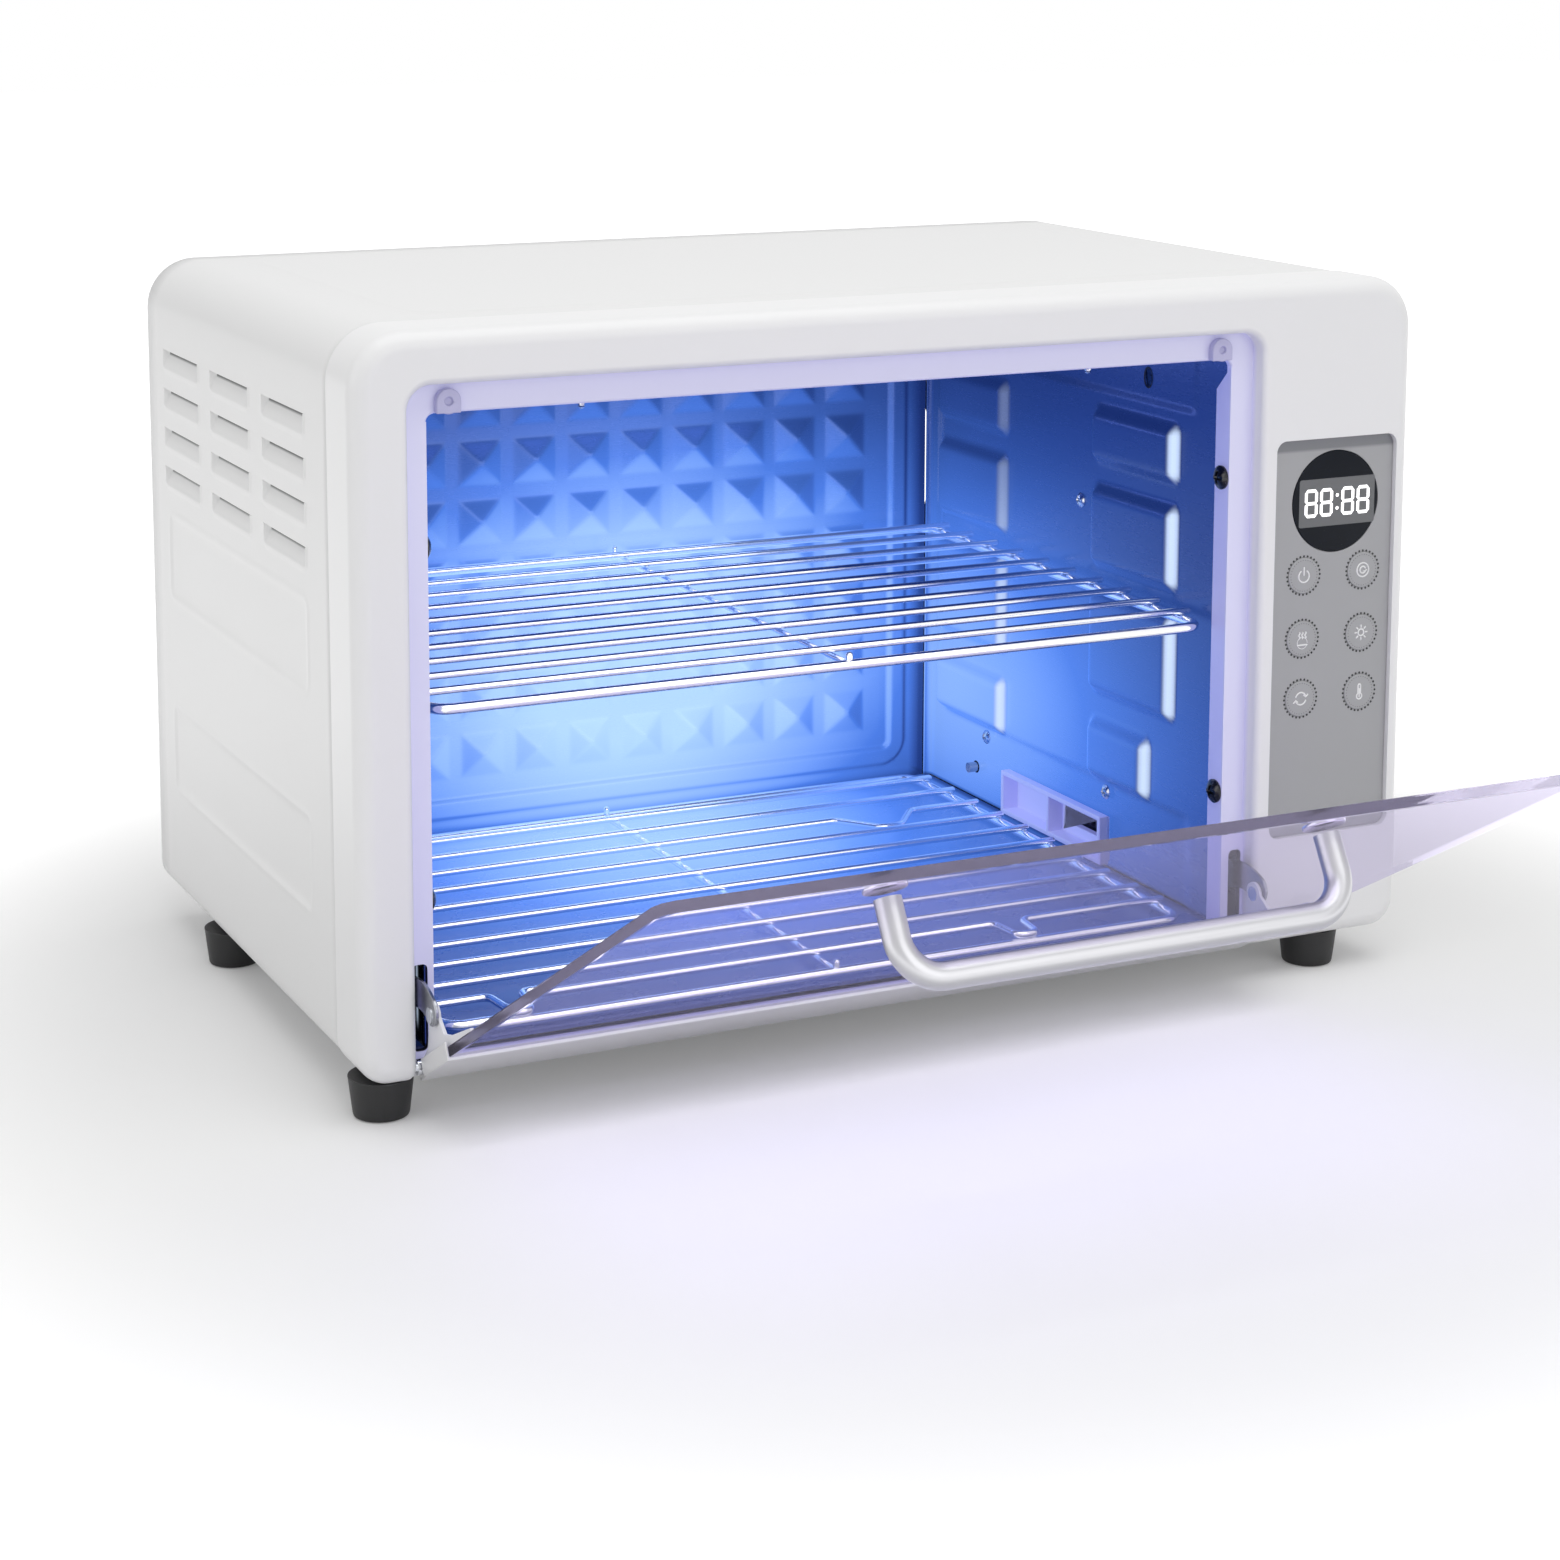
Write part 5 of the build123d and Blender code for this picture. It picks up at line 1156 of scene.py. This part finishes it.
def build_handle():
    """The bent bar handle, its washers and its screws."""
    satin = plain_finish("satin_aluminium", settings().door.handle_colour, 0.34, metallic=1.0,
                         scale=90.0, stretch=(0.5, 22.0, 22.0), swing=0.14, relief=0.01)
    turned_metal = plain_finish("turned_metal", (0.74, 0.74, 0.76), 0.20, metallic=1.0, scale=1200.0)
    bar = GLASS_OUTER - HANDLE_STANDOFF
    corners = door_place([HANDLE_LEFT, HANDLE_LEFT, HANDLE_RIGHT, HANDLE_RIGHT], HANDLE_U,
                         [GLASS_OUTER, bar, bar, GLASS_OUTER])
    shape = tube(bent(corners, HANDLE_BEND * MM, 14), settings().door.handle_radius, DOOR_UP, sides=32,
                 rounding=0)
    new_piece("handle_tube", shape, "door", satin, ("handle_bar",), sharp=50.0)
    edge = ((0, 0), (5.9, 0), (6.35, 0.15), (6.5, 0.45), (6.5, 1.05), (6.35, 1.35), (5.9, 1.5), (0, 1.5))
    washers = [turned(door_place(x, HANDLE_U, GLASS_INNER), DOOR_IN, edge, 48)
               for x in (HANDLE_LEFT, HANDLE_RIGHT)]
    new_piece("handle_washer_rings", together(washers), "door", turned_metal, ("handle_washers",))
    heads = [cross_head(door_place(x, HANDLE_U, GLASS_INNER + WASHER), DOOR_IN, 4.2, 2.6)
             for x in (HANDLE_LEFT, HANDLE_RIGHT)]
    new_piece("handle_screw_heads", together(heads), "door", turned_metal, ("handle_screws",))


def build_feet():
    """Tapered rubber feet with rounded rims and a sunk middle."""
    rubber = plain_finish("black_rubber", (0.014, 0.014, 0.015), 0.5, scale=1400.0, relief=0.05)
    profile = ((0, -6.2), (4.5, -6.2), (4.5, -12.6), (4.9, -13), (8.1, -13), (8.75, -12.75), (9.0, -12.1),
               (9.75, -6), (10.35, -0.8), (10.45, -0.2), (10.4, 0), (0, 0))
    for number, (x, y) in enumerate(FOOT_PLACES, start=1):
        new_piece(f"rubber_foot_{number}", turned(place(x, y, 0), (0, 0, 1), profile, 48), "cabinet",
                  rubber, (f"foot_{number}",), sharp=40.0)


def build_lamp():
    """The lit tube with its metal end caps."""
    glass = glowing("lit_tube", (0.35, 0.50, 1.0), 3.0)
    cap = plain_finish("lamp_cap", (0.7, 0.7, 0.72), 0.25, metallic=1.0)
    tube_profile = ((0, 10), (6.4, 10), (7.5, 11), (7.8, 12.5), (7.8, 187.5), (7.5, 189), (6.4, 190),
                    (0, 190))
    left = place(LAMP_LEFT, LAMP_DEPTH, LAMP_HEIGHT)
    right = place(LAMP_RIGHT, LAMP_DEPTH, LAMP_HEIGHT)
    new_piece("lamp_tube_glass", turned(left, (1, 0, 0), tube_profile), "cabinet", glass, ("uv_lamp",))
    cap_profile = ((0, 0), (6.9, 0), (7.5, 0.5), (7.7, 1.5), (7.7, 11.5), (7.4, 12.2), (0, 12.2))
    ends = [turned(left, (1, 0, 0), cap_profile), turned(right, (-1, 0, 0), cap_profile)]
    new_piece("lamp_end_caps", together(ends), "cabinet", cap)


def seven_segments():
    """Outlines of a figure eight's seven bars: slim six-sided bars, lying or standing."""
    thick = 0.55
    tip = DIGIT_HALF - thick
    bar = np.array([[-DIGIT_HALF, 0], [-tip, thick], [tip, thick], [DIGIT_HALF, 0], [tip, -thick],
                    [-tip, -thick]])
    lying = [bar + [0, z] for z in (-4.45, 0, 4.45)]
    upright = bar[:, ::-1] * [1, 0.96]
    standing = [upright + [x, z] for x in (-DIGIT_HALF, DIGIT_HALF) for z in (-2.23, 2.23)]
    return np.array(lying + standing)


def build_display():
    """The round black window, its grey digit field and the lit digits."""
    black = plain_finish("gloss_black", (0.004, 0.006, 0.011), 0.25, relief=0.0, specular=0.12)
    grey = plain_finish("digit_field", settings().panel.field_colour, 0.45, relief=0.0, specular=0.2)
    lit = glowing("lit_digits", settings().panel.digit_colour, 1.4)
    rim = ((0, -1.3), (17.9, -1.3), (18, -1.1), (18, -0.25), (17.85, -0.06), (17.5, 0), (0, 0))
    disc = turned(place(DISPLAY_X, DISPLAY_FACE, DISPLAY_Z), (0, -1, 0), rim, 96)
    new_piece("display_disc", disc, "cabinet", black, ("display_window",))
    x, z = rounded_loop(*DIGIT_FIELD, 0.8, 4)
    field = plates(np.stack([x, z], -1)[None], DIGIT_FIELD_FACE, DISPLAY_FACE + 0.1)
    new_piece("digit_field_plate", field, "cabinet", grey)
    centres = np.array([[x, DIGIT_Z] for x in DIGIT_X])
    bars = (seven_segments()[None] + centres[:, None, None]).reshape(-1, 6, 2)
    dots = circle_outlines(COLON_DOTS, 0.62, 12)
    shape = together([plates(outlines, DIGIT_FACE, DISPLAY_FACE) for outlines in (bars, dots)])
    new_piece("digit_bars", shape, "cabinet", lit)


def stroke(x, z, face, closed=False, radius=0.28):
    """A thin raised line of print along a path on the panel."""
    return tube(place(x, face, z), radius * MM, (0, 1, 0), sides=6, closed=closed, rounding=2)


def arc(x, z, radius, start, end, steps=20):
    """Points of an arc, its angles in degrees."""
    angle = np.radians(np.linspace(start, end, steps))
    return x + radius * np.cos(angle), z + radius * np.sin(angle)


def panel_overlay():
    """Printed film of the control panel, with a painted shadow band along its top."""
    def build(tree, shader):
        ground = toned(tree, settings().panel.overlay_colour, 16.0, 0.03)
        # Painted shadow: a darker band along the top, under the pocket's upper edge
        film = blend_colours(tree, box_mask(tree, *PANEL_SHADOW_BAND, 0.0012), ground, (0.20, 0.205, 0.22, 1.0))
        feed(tree, shader.inputs["Base Color"], film)
        roughen(tree, shader, 0.42, 0.12, 2200.0, relief=0.02)
    return material_named("panel_overlay", build)


def key_icon(number, x, z, face):
    """The plain pictogram of one key."""
    whole = arc(x, z, 2.5, 0, 342, 19)
    if number == 1:
        return [stroke(*arc(x, z - 0.2, 2.2, 125, 415), face), stroke([x, x], [z + 0.2, z + 2.9], face)]
    if number == 2:
        return [stroke(*whole, face, closed=True), stroke(*arc(x, z, 1.2, 30, 330), face),
                stroke([x + 0.5, x + 1.1, x + 1.5], [z - 0.5, z - 0.6, z - 0.1], face)]
    if number == 3:
        wave = np.linspace(0, 2.2, 9)
        heat = [stroke(x + shift + 0.25 * np.sin(wave * 4), z + 0.1 + wave, face)
                for shift in (-1.3, 0, 1.3)]
        return heat + [stroke(*arc(x, z - 1.5, 2.1, 0, 342, 19), face, radius=0.12),
                       stroke([x - 2.0, x + 2.0], [z - 2.2, z - 2.2], face)]
    if number == 4:
        ray = np.array([1.9, 2.6])
        rays = [stroke(x + np.cos(turn) * ray, z + np.sin(turn) * ray, face)
                for turn in np.radians(np.arange(0, 360, 45))]
        return rays + [stroke(*arc(x, z, 1.2, 0, 342, 19), face, closed=True)]
    if number == 5:
        return [stroke(*arc(x, z, 2.2, 20, 160), face), stroke(*arc(x, z, 2.2, 200, 340), face),
                stroke([x + 2.9, x + 2.1, x + 1.3], [z + 1.3, z + 0.5, z + 1.1], face),
                stroke([x - 2.9, x - 2.1, x - 1.3], [z - 1.3, z - 0.5, z - 1.1], face)]
    stem_x, stem_z = arc(x, z - 1.6, 1.1, 120, 420)
    top_x, top_z = arc(x, z + 2.2, 0.55, 0, 180, 8)
    outline_x = np.concatenate([stem_x, top_x])
    outline_z = np.concatenate([stem_z, top_z])
    return [stroke(outline_x, outline_z, face, closed=True), stroke([x, x], [z - 1.8, z + 1.0], face)]


def build_control_panel():
    """Printed dot rings and pictograms of the six keys."""
    black_print = plain_finish("black_print", (0.02, 0.02, 0.022), 0.45, relief=0.0)
    pale_print = plain_finish("pale_print", settings().panel.print_colour, 0.45, relief=0.0)
    grey_print = plain_finish("grey_print", (0.20, 0.20, 0.21), 0.45, relief=0.0)
    outer_turn = np.linspace(0, 2 * math.pi, 28, endpoint=False)
    inner_turn = np.linspace(0, 2 * math.pi, 34, endpoint=False)
    rings = []
    overlay = panel_overlay()
    edge = ((0, 0), (KEY_CAP_RADIUS, 0), (KEY_CAP_RADIUS, 0.1), (6.32, 0.2), (6.15, 0.28), (5.9, 0.29),
            (0, 0.29))
    centres = [(x, z) for z in KEY_ROWS for x in KEY_COLUMNS]
    for number, (x, z) in enumerate(centres, start=1):
        body = f"key_{number}"
        outer = np.stack([x + DOT_RING * np.cos(outer_turn), z + DOT_RING * np.sin(outer_turn)], -1)
        inner = np.stack([x + FINE_RING * np.cos(inner_turn), z + FINE_RING * np.sin(inner_turn)], -1)
        rings.append(plates(circle_outlines(outer, 0.42, 10), PANEL_FACE - 0.06, PANEL_FACE + 0.05))
        cap = turned(place(x, PANEL_FACE - 0.02, z), (0, -1, 0), edge, 64)
        new_piece(f"{body}_cap", cap, body, overlay, sharp=60.0)
        fine = plates(circle_outlines(inner, 0.2, 6), KEY_FACE - 0.04, KEY_FACE + 0.02)
        new_piece(f"{body}_fine_ring", fine, body, grey_print)
        icon = together(key_icon(number, x, z, KEY_FACE))
        new_piece(f"{body}_pictogram", icon, body, pale_print)
    new_piece("panel_dot_rings", together(rings), "cabinet", black_print)


def build_refined_nodes():
    """CAD nodes whose shape is right, with their edges rounded."""
    white_steel = plain_finish("white_bracket", (0.80, 0.80, 0.84), 0.3, relief=0.01)
    arm_steel = plain_finish("arm_steel", (0.34, 0.35, 0.38), 0.25, metallic=1.0, scale=300.0)
    channel = plain_finish("satin_channel", (0.70, 0.70, 0.71), 0.38, metallic=0.25, scale=60.0,
                           stretch=(0.4, 20.0, 20.0))
    # Pale clear bumpers, tinted lilac as painted light from the lit cavity
    clear = plain_finish("soft_bumper", (0.50, 0.49, 0.72), 0.35, coat=0.1)
    refined_copy("front_frame", "front_frame_moulding", "cabinet", white_moulding(), 0.25)
    refined_copy("vent_housing", "vent_housing_moulding", "cabinet", vent_moulding(), 0.4)
    refined_copy("door_bumpers", "soft_door_bumpers", "cabinet", clear, 0.5, 3)
    refined_copy("door_channel", "door_channel_strip", "door", channel)
    for side in ("left", "right"):
        refined_copy(f"door_bracket_{side}", f"bracket_{side}_plate", "door", white_steel)
        refined_copy(f"link_arm_{side}", f"stay_arm_{side}_strip", "door", arm_steel, 0.25)


def finish_nodes():
    """Finishes for the CAD nodes that stay as they are."""
    overlay = panel_overlay()
    bright = bpy.data.materials["bright_plating"]
    back_paint = plain_finish("back_paint", settings().shell.paint_colour, 0.36, scale=700.0)
    zinc = plain_finish("zinc_sheet", (0.58, 0.59, 0.60), 0.38, metallic=0.9, scale=45.0, tone=0.2)
    rubber = bpy.data.materials["black_rubber"]
    moulded = plain_finish("moulded_black", (0.03, 0.03, 0.032), 0.42)
    drawn = plain_finish("drawn_steel", (0.55, 0.55, 0.57), 0.3, metallic=1.0, scale=120.0)
    board = plain_finish("board_mask", (0.02, 0.16, 0.07), 0.35, scale=300.0)
    holder = plain_finish("holder_plastic", (0.78, 0.78, 0.78), 0.4)
    fins = plain_finish("fin_aluminium", (0.66, 0.66, 0.68), 0.32, metallic=1.0, stretch=(1.0, 1.0, 20.0))
    steel = plain_finish("spring_leaf", (0.42, 0.43, 0.46), 0.28, metallic=1.0, stretch=(1.0, 1.0, 12.0))
    keys = [f"key_{number}" for number in range(1, 7)]
    for material, names in (
            (overlay, ["control_panel"] + keys), (back_paint, ["rear_panel"]), (zinc, ["base_plate"]),
            (bright, ["rear_screws", "foot_screws", "arm_rivets", "hinge_pins", "board_standoffs"]),
            (rubber, ["glass_seal", "cord_gland"]), (board, ["control_board"]), (fins, ["ptc_heater"]),
            (moulded, ["blower_housing", "blower_wheel", "ballast", "key_switches", "door_switch",
                       "display_module"]),
            (drawn, ["blower_motor", "temperature_probe"]), (holder, ["lamp_holders", "terminal_block"]),
            (steel, ["arm_friction_springs"]), (plated_wire(), ["lamp_guard"])):
        for name in names:
            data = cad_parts[name].data
            data.materials.clear()
            data.materials.append(material)


# Stage

def build_floor():
    """A pale floor that keeps the object's shadow and looks white where nothing shades it."""
    def build(tree, shader):
        chosen = settings().studio
        set_inputs(shader, Base_Color=(*chosen.floor_colour, 1.0), Roughness=0.9, Specular_IOR_Level=0.0)
        span = vector_maths(tree, "LENGTH", object_coordinates(tree))
        away = map_range(tree, span, 0.24, 0.62, chosen.floor_lift, smoothed=True)
        light = add_node(tree, "ShaderNodeEmission")
        feed(tree, light.inputs["Strength"], calculate(tree, "MULTIPLY", looked_at(tree), away))
        both = add_node(tree, "ShaderNodeAddShader")
        feed(tree, both.inputs[0], shader.outputs[0])
        feed(tree, both.inputs[1], light.outputs[0])
        feed(tree, tree.nodes["Material Output"].inputs["Surface"], both.outputs[0])
    ticks = np.linspace(-6, 6, 5)
    x, y = np.meshgrid(ticks, ticks, indexing="ij")
    vertices, faces = sheet(np.stack([x, y, np.full_like(x, CAD_BOX[0][2] - 0.0002)], -1))
    mesh = bpy.data.meshes.new("studio_floor")
    mesh.from_pydata(vertices.tolist(), [], [face[::-1] for face in faces])
    mesh.materials.append(material_named("studio_floor", build))
    add_to_scene(bpy.data.objects.new("studio_floor", mesh))


def build_world():
    """A white surround to look at, softer as a light."""
    world = bpy.context.scene.world or bpy.data.worlds.new("studio_world")
    bpy.context.scene.world = world
    world.use_nodes = True
    tree = world.node_tree
    back = tree.nodes["Background"]
    back.inputs["Color"].default_value = (1.0, 1.0, 1.0, 1.0)
    ambient = settings().studio.ambient
    strength = calculate(tree, "MULTIPLY_ADD", looked_at(tree), 1.0 - ambient, ambient)
    feed(tree, back.inputs["Strength"], strength)


def area_lamp(name, spot, target, size, power):
    """A rectangular soft lamp at a place in millimetres, turned to face a target."""
    data = bpy.data.lights.new(name, "AREA")
    data.shape = "RECTANGLE"
    data.size, data.size_y = [side * MM for side in size]
    data.energy = power
    lamp = add_to_scene(bpy.data.objects.new(name, data))
    here = Vector(corner_of(*spot))
    turn = (Vector(corner_of(*target)) - here).to_track_quat("-Z", "Y")
    lamp.matrix_world = Matrix.LocRotScale(here, turn, None)
    lamp.visible_camera = False


def build_lamps():
    """Studio lamps above, in front and on the left, and the blue light inside the cavity."""
    studio = settings().studio
    area_lamp("overhead_softbox", (200, -250, 1500), (200, 100, 100), (1600, 1400), studio.key_power)
    area_lamp("front_softbox", (500, -1700, 700), (200, 100, 110), (1500, 1200), studio.fill_power)
    area_lamp("side_softbox", (-1500, 120, 500), (0, 120, 110), (1200, 900), studio.side_power)
    point = bpy.data.lights.new("cavity_bulb", "POINT")
    point.energy = settings().cavity.light_power
    point.color = settings().cavity.light_colour
    point.shadow_soft_size = 0.02
    bulb = add_to_scene(bpy.data.objects.new("cavity_bulb", point))
    bulb.location = corner_of(*LIGHT_PLACE)
    bulb.visible_camera = False
    bulb.visible_glossy = False
    bulb.visible_transmission = False


def build_camera():
    """The camera at the photograph's place: forward from azimuth and elevation, then a small roll."""
    a, e, roll = CAMERA_AZIMUTH, CAMERA_ELEVATION, CAMERA_ROLL
    forward = np.array([math.sin(a) * math.cos(e), math.cos(a) * math.cos(e), -math.sin(e)])
    right = direction(np.cross(forward, (0.0, 0.0, 1.0)))
    down = np.cross(forward, right)
    local_x = math.cos(roll) * right + math.sin(roll) * down
    local_y = math.sin(roll) * right - math.cos(roll) * down
    axes = np.stack([local_x, local_y, -forward], axis=1)
    data = bpy.data.cameras.new("photo_camera")
    data.sensor_width = 36.0
    data.lens = FOCAL_PIXELS / IMAGE_SIDE * data.sensor_width
    data.shift_y = CAMERA_SHIFT_Y
    data.clip_start = 0.01
    camera = add_to_scene(bpy.data.objects.new("photo_camera", data))
    turn = Matrix(axes.tolist()).to_4x4()
    camera.matrix_world = Matrix.Translation(Vector(corner_of(*CAMERA_PLACE))) @ turn
    bpy.context.scene.camera = camera
    bpy.context.scene.view_settings.view_transform = "Standard"


# Settings, operators and panel

def length_setting(name, description, default):
    """A length setting."""
    return FloatProperty(name=name, description=description, default=default * MM, unit="LENGTH", min=0.0)


def colour_setting(name, description, default):
    """A colour setting."""
    return FloatVectorProperty(name=name, description=description, default=default, subtype="COLOR",
                               size=3, min=0.0, max=1.0)


def number_setting(name, description, default):
    """A plain number setting."""
    return FloatProperty(name=name, description=description, default=default, min=0.0)


class ShellSettings(bpy.types.PropertyGroup):
    """Sizes and colours of the outside of the body."""
    louvre_depth: length_setting("Louvre depth", "How far the louvres are pressed in", 1.8)
    bead_height: length_setting("Bead height", "Height of the bead round the pressed fields", 0.2)
    plateau_height: length_setting("Plateau height", "Height of the low field pressed into the top", 0.35)
    paint_colour: colour_setting("Paint", "Coat of the sheet wrap", (0.80, 0.80, 0.80))
    frame_colour: colour_setting("Frame", "Colour of the front moulding", (0.84, 0.84, 0.845))


class CavitySettings(bpy.types.PropertyGroup):
    """Sizes, colours and light of the cavity."""
    pyramid_height: length_setting("Pyramid height", "Height of the back wall's pyramids", 3.6)
    emboss_height: length_setting("Emboss height", "Height of the side walls' fields", 4.0)
    # The liner's colour, darkened and tinted blue: painted shade and painted blue light of the dim cavity
    shaded_sheet_colour: colour_setting("Sheet", "Colour of the bare liner sheet", (0.04, 0.055, 0.13))
    glow_strength: number_setting("Glow", "Strength of the light that lies on the liner", 1.0)
    lip_glow: number_setting("Lip glow", "Strength of the light beside the opening", 0.5)
    light_colour: colour_setting("Light colour", "Colour of the lamps in the cavity", (0.30, 0.52, 1.0))
    light_power: number_setting("Light power", "Power of the lamp in the cavity, in watts", 0.08)


class DoorSettings(bpy.types.PropertyGroup):
    """Sizes and colours of the door."""
    glass_tint: colour_setting("Glass tint", "Colour of the pane", (0.78, 0.74, 0.90))
    handle_colour: colour_setting("Handle", "Colour of the bar handle", (0.52, 0.52, 0.54))
    handle_radius: length_setting("Handle radius", "Half of the bar's thickness", 4.0)


class RackSettings(bpy.types.PropertyGroup):
    """Wire sizes of the racks."""
    rail_radius: length_setting("Rail radius", "Half of the hoop's thickness", 1.8)
    wire_radius: length_setting("Wire radius", "Half of a cross wire's thickness", 1.3)


class PanelSettings(bpy.types.PropertyGroup):
    """Colours of the control panel."""
    overlay_colour: colour_setting("Overlay", "Ground colour of the panel", (0.375, 0.378, 0.388))
    print_colour: colour_setting("Print", "Colour of the pictograms", (0.86, 0.86, 0.86))
    field_colour: colour_setting("Digit field", "Ground of the digits", (0.17, 0.175, 0.18))
    digit_colour: colour_setting("Digits", "Colour of the lit digits", (1.0, 1.0, 1.0))


class StudioSettings(bpy.types.PropertyGroup):
    """Light and floor round the object."""
    key_power: number_setting("Overhead power", "Power of the lamp above, in watts", 10.0)
    fill_power: number_setting("Front power", "Power of the lamp in front, in watts", 6.0)
    side_power: number_setting("Side power", "Power of the lamp on the left, in watts", 3.6)
    ambient: number_setting("Surround", "Light of the white surround", 0.50)
    floor_colour: colour_setting("Floor", "Colour of the floor", (0.80, 0.80, 0.80))
    floor_lift: number_setting("Floor lift", "Light added to the floor where it is seen", 0.12)


class CabinetSettings(bpy.types.PropertyGroup):
    """All settings of the cabinet."""
    shell: PointerProperty(type=ShellSettings)
    cavity: PointerProperty(type=CavitySettings)
    door: PointerProperty(type=DoorSettings)
    rack: PointerProperty(type=RackSettings)
    panel: PointerProperty(type=PanelSettings)
    studio: PointerProperty(type=StudioSettings)


class CABINET_OT_body(bpy.types.Operator):
    """Builds the sheet wrap and the feet"""
    bl_idname = "cabinet.body"
    bl_label = "Body"

    def execute(self, context):
        build_outer_shell()
        build_feet()
        return {"FINISHED"}


class CABINET_OT_cavity(bpy.types.Operator):
    """Builds the cavity's liner, the painted shade in its wire holes, its screws and lamp"""
    bl_idname = "cabinet.cavity"
    bl_label = "Cavity"

    def execute(self, context):
        build_side_walls()
        build_back_wall()
        build_floor_and_ceiling()
        build_wall_hole_shade()
        build_fasteners()
        build_lamp()
        return {"FINISHED"}


class CABINET_OT_racks(bpy.types.Operator):
    """Builds both wire racks"""
    bl_idname = "cabinet.racks"
    bl_label = "Racks"

    def execute(self, context):
        build_racks()
        return {"FINISHED"}


class CABINET_OT_door(bpy.types.Operator):
    """Builds the glass pane and the handle"""
    bl_idname = "cabinet.door"
    bl_label = "Door"

    def execute(self, context):
        build_door_glass()
        build_handle()
        return {"FINISHED"}


class CABINET_OT_control_panel(bpy.types.Operator):
    """Builds the display and the printed keys"""
    bl_idname = "cabinet.control_panel"
    bl_label = "Control Panel"

    def execute(self, context):
        build_display()
        build_control_panel()
        return {"FINISHED"}


class CABINET_OT_construction(bpy.types.Operator):
    """Rounds the edges of the frame, hinges and vent, and finishes the remaining parts"""
    bl_idname = "cabinet.construction"
    bl_label = "Frame and Hardware"

    def execute(self, context):
        build_refined_nodes()
        finish_nodes()
        return {"FINISHED"}


class CABINET_OT_stage(bpy.types.Operator):
    """Sets the floor, the surround, the lamps and the camera"""
    bl_idname = "cabinet.stage"
    bl_label = "Stage"

    def execute(self, context):
        build_floor()
        build_world()
        build_lamps()
        build_camera()
        return {"FINISHED"}


class CABINET_PT_workshop(bpy.types.Panel):
    """Sidebar panel with the cabinet's settings and steps"""
    bl_idname = "CABINET_PT_workshop"
    bl_label = "Sterilizer Cabinet"
    bl_space_type = "VIEW_3D"
    bl_region_type = "UI"
    bl_category = "Cabinet"

    def draw(self, context):
        chosen = context.scene.cabinet
        for title, group, step in (("Body", chosen.shell, "cabinet.body"),
                                   ("Cavity", chosen.cavity, "cabinet.cavity"),
                                   ("Racks", chosen.rack, "cabinet.racks"),
                                   ("Door", chosen.door, "cabinet.door"),
                                   ("Control Panel", chosen.panel, "cabinet.control_panel"),
                                   ("Stage", chosen.studio, "cabinet.stage")):
            box = self.layout.box()
            box.label(text=title)
            for name in group.__annotations__:
                box.prop(group, name)
            box.operator(step)
        self.layout.operator("cabinet.construction")


CLASSES = (ShellSettings, CavitySettings, DoorSettings, RackSettings, PanelSettings, StudioSettings,
           CabinetSettings, CABINET_OT_body, CABINET_OT_cavity, CABINET_OT_racks, CABINET_OT_door,
           CABINET_OT_control_panel, CABINET_OT_construction, CABINET_OT_stage, CABINET_PT_workshop)


def register():
    """Registers the classes and hangs the settings on the scene."""
    for entry in CLASSES:
        bpy.utils.register_class(entry)
    bpy.types.Scene.cabinet = PointerProperty(type=CabinetSettings)


def unregister():
    """Takes the settings and the classes away again."""
    del bpy.types.Scene.cabinet
    for entry in reversed(CLASSES):
        bpy.utils.unregister_class(entry)


def main():
    """Builds the whole cabinet."""
    register()
    bpy.ops.cabinet.stage()
    bpy.ops.cabinet.body()
    bpy.ops.cabinet.cavity()
    bpy.ops.cabinet.racks()
    bpy.ops.cabinet.door()
    bpy.ops.cabinet.control_panel()
    bpy.ops.cabinet.construction()


if __name__ == "__main__":
    main()
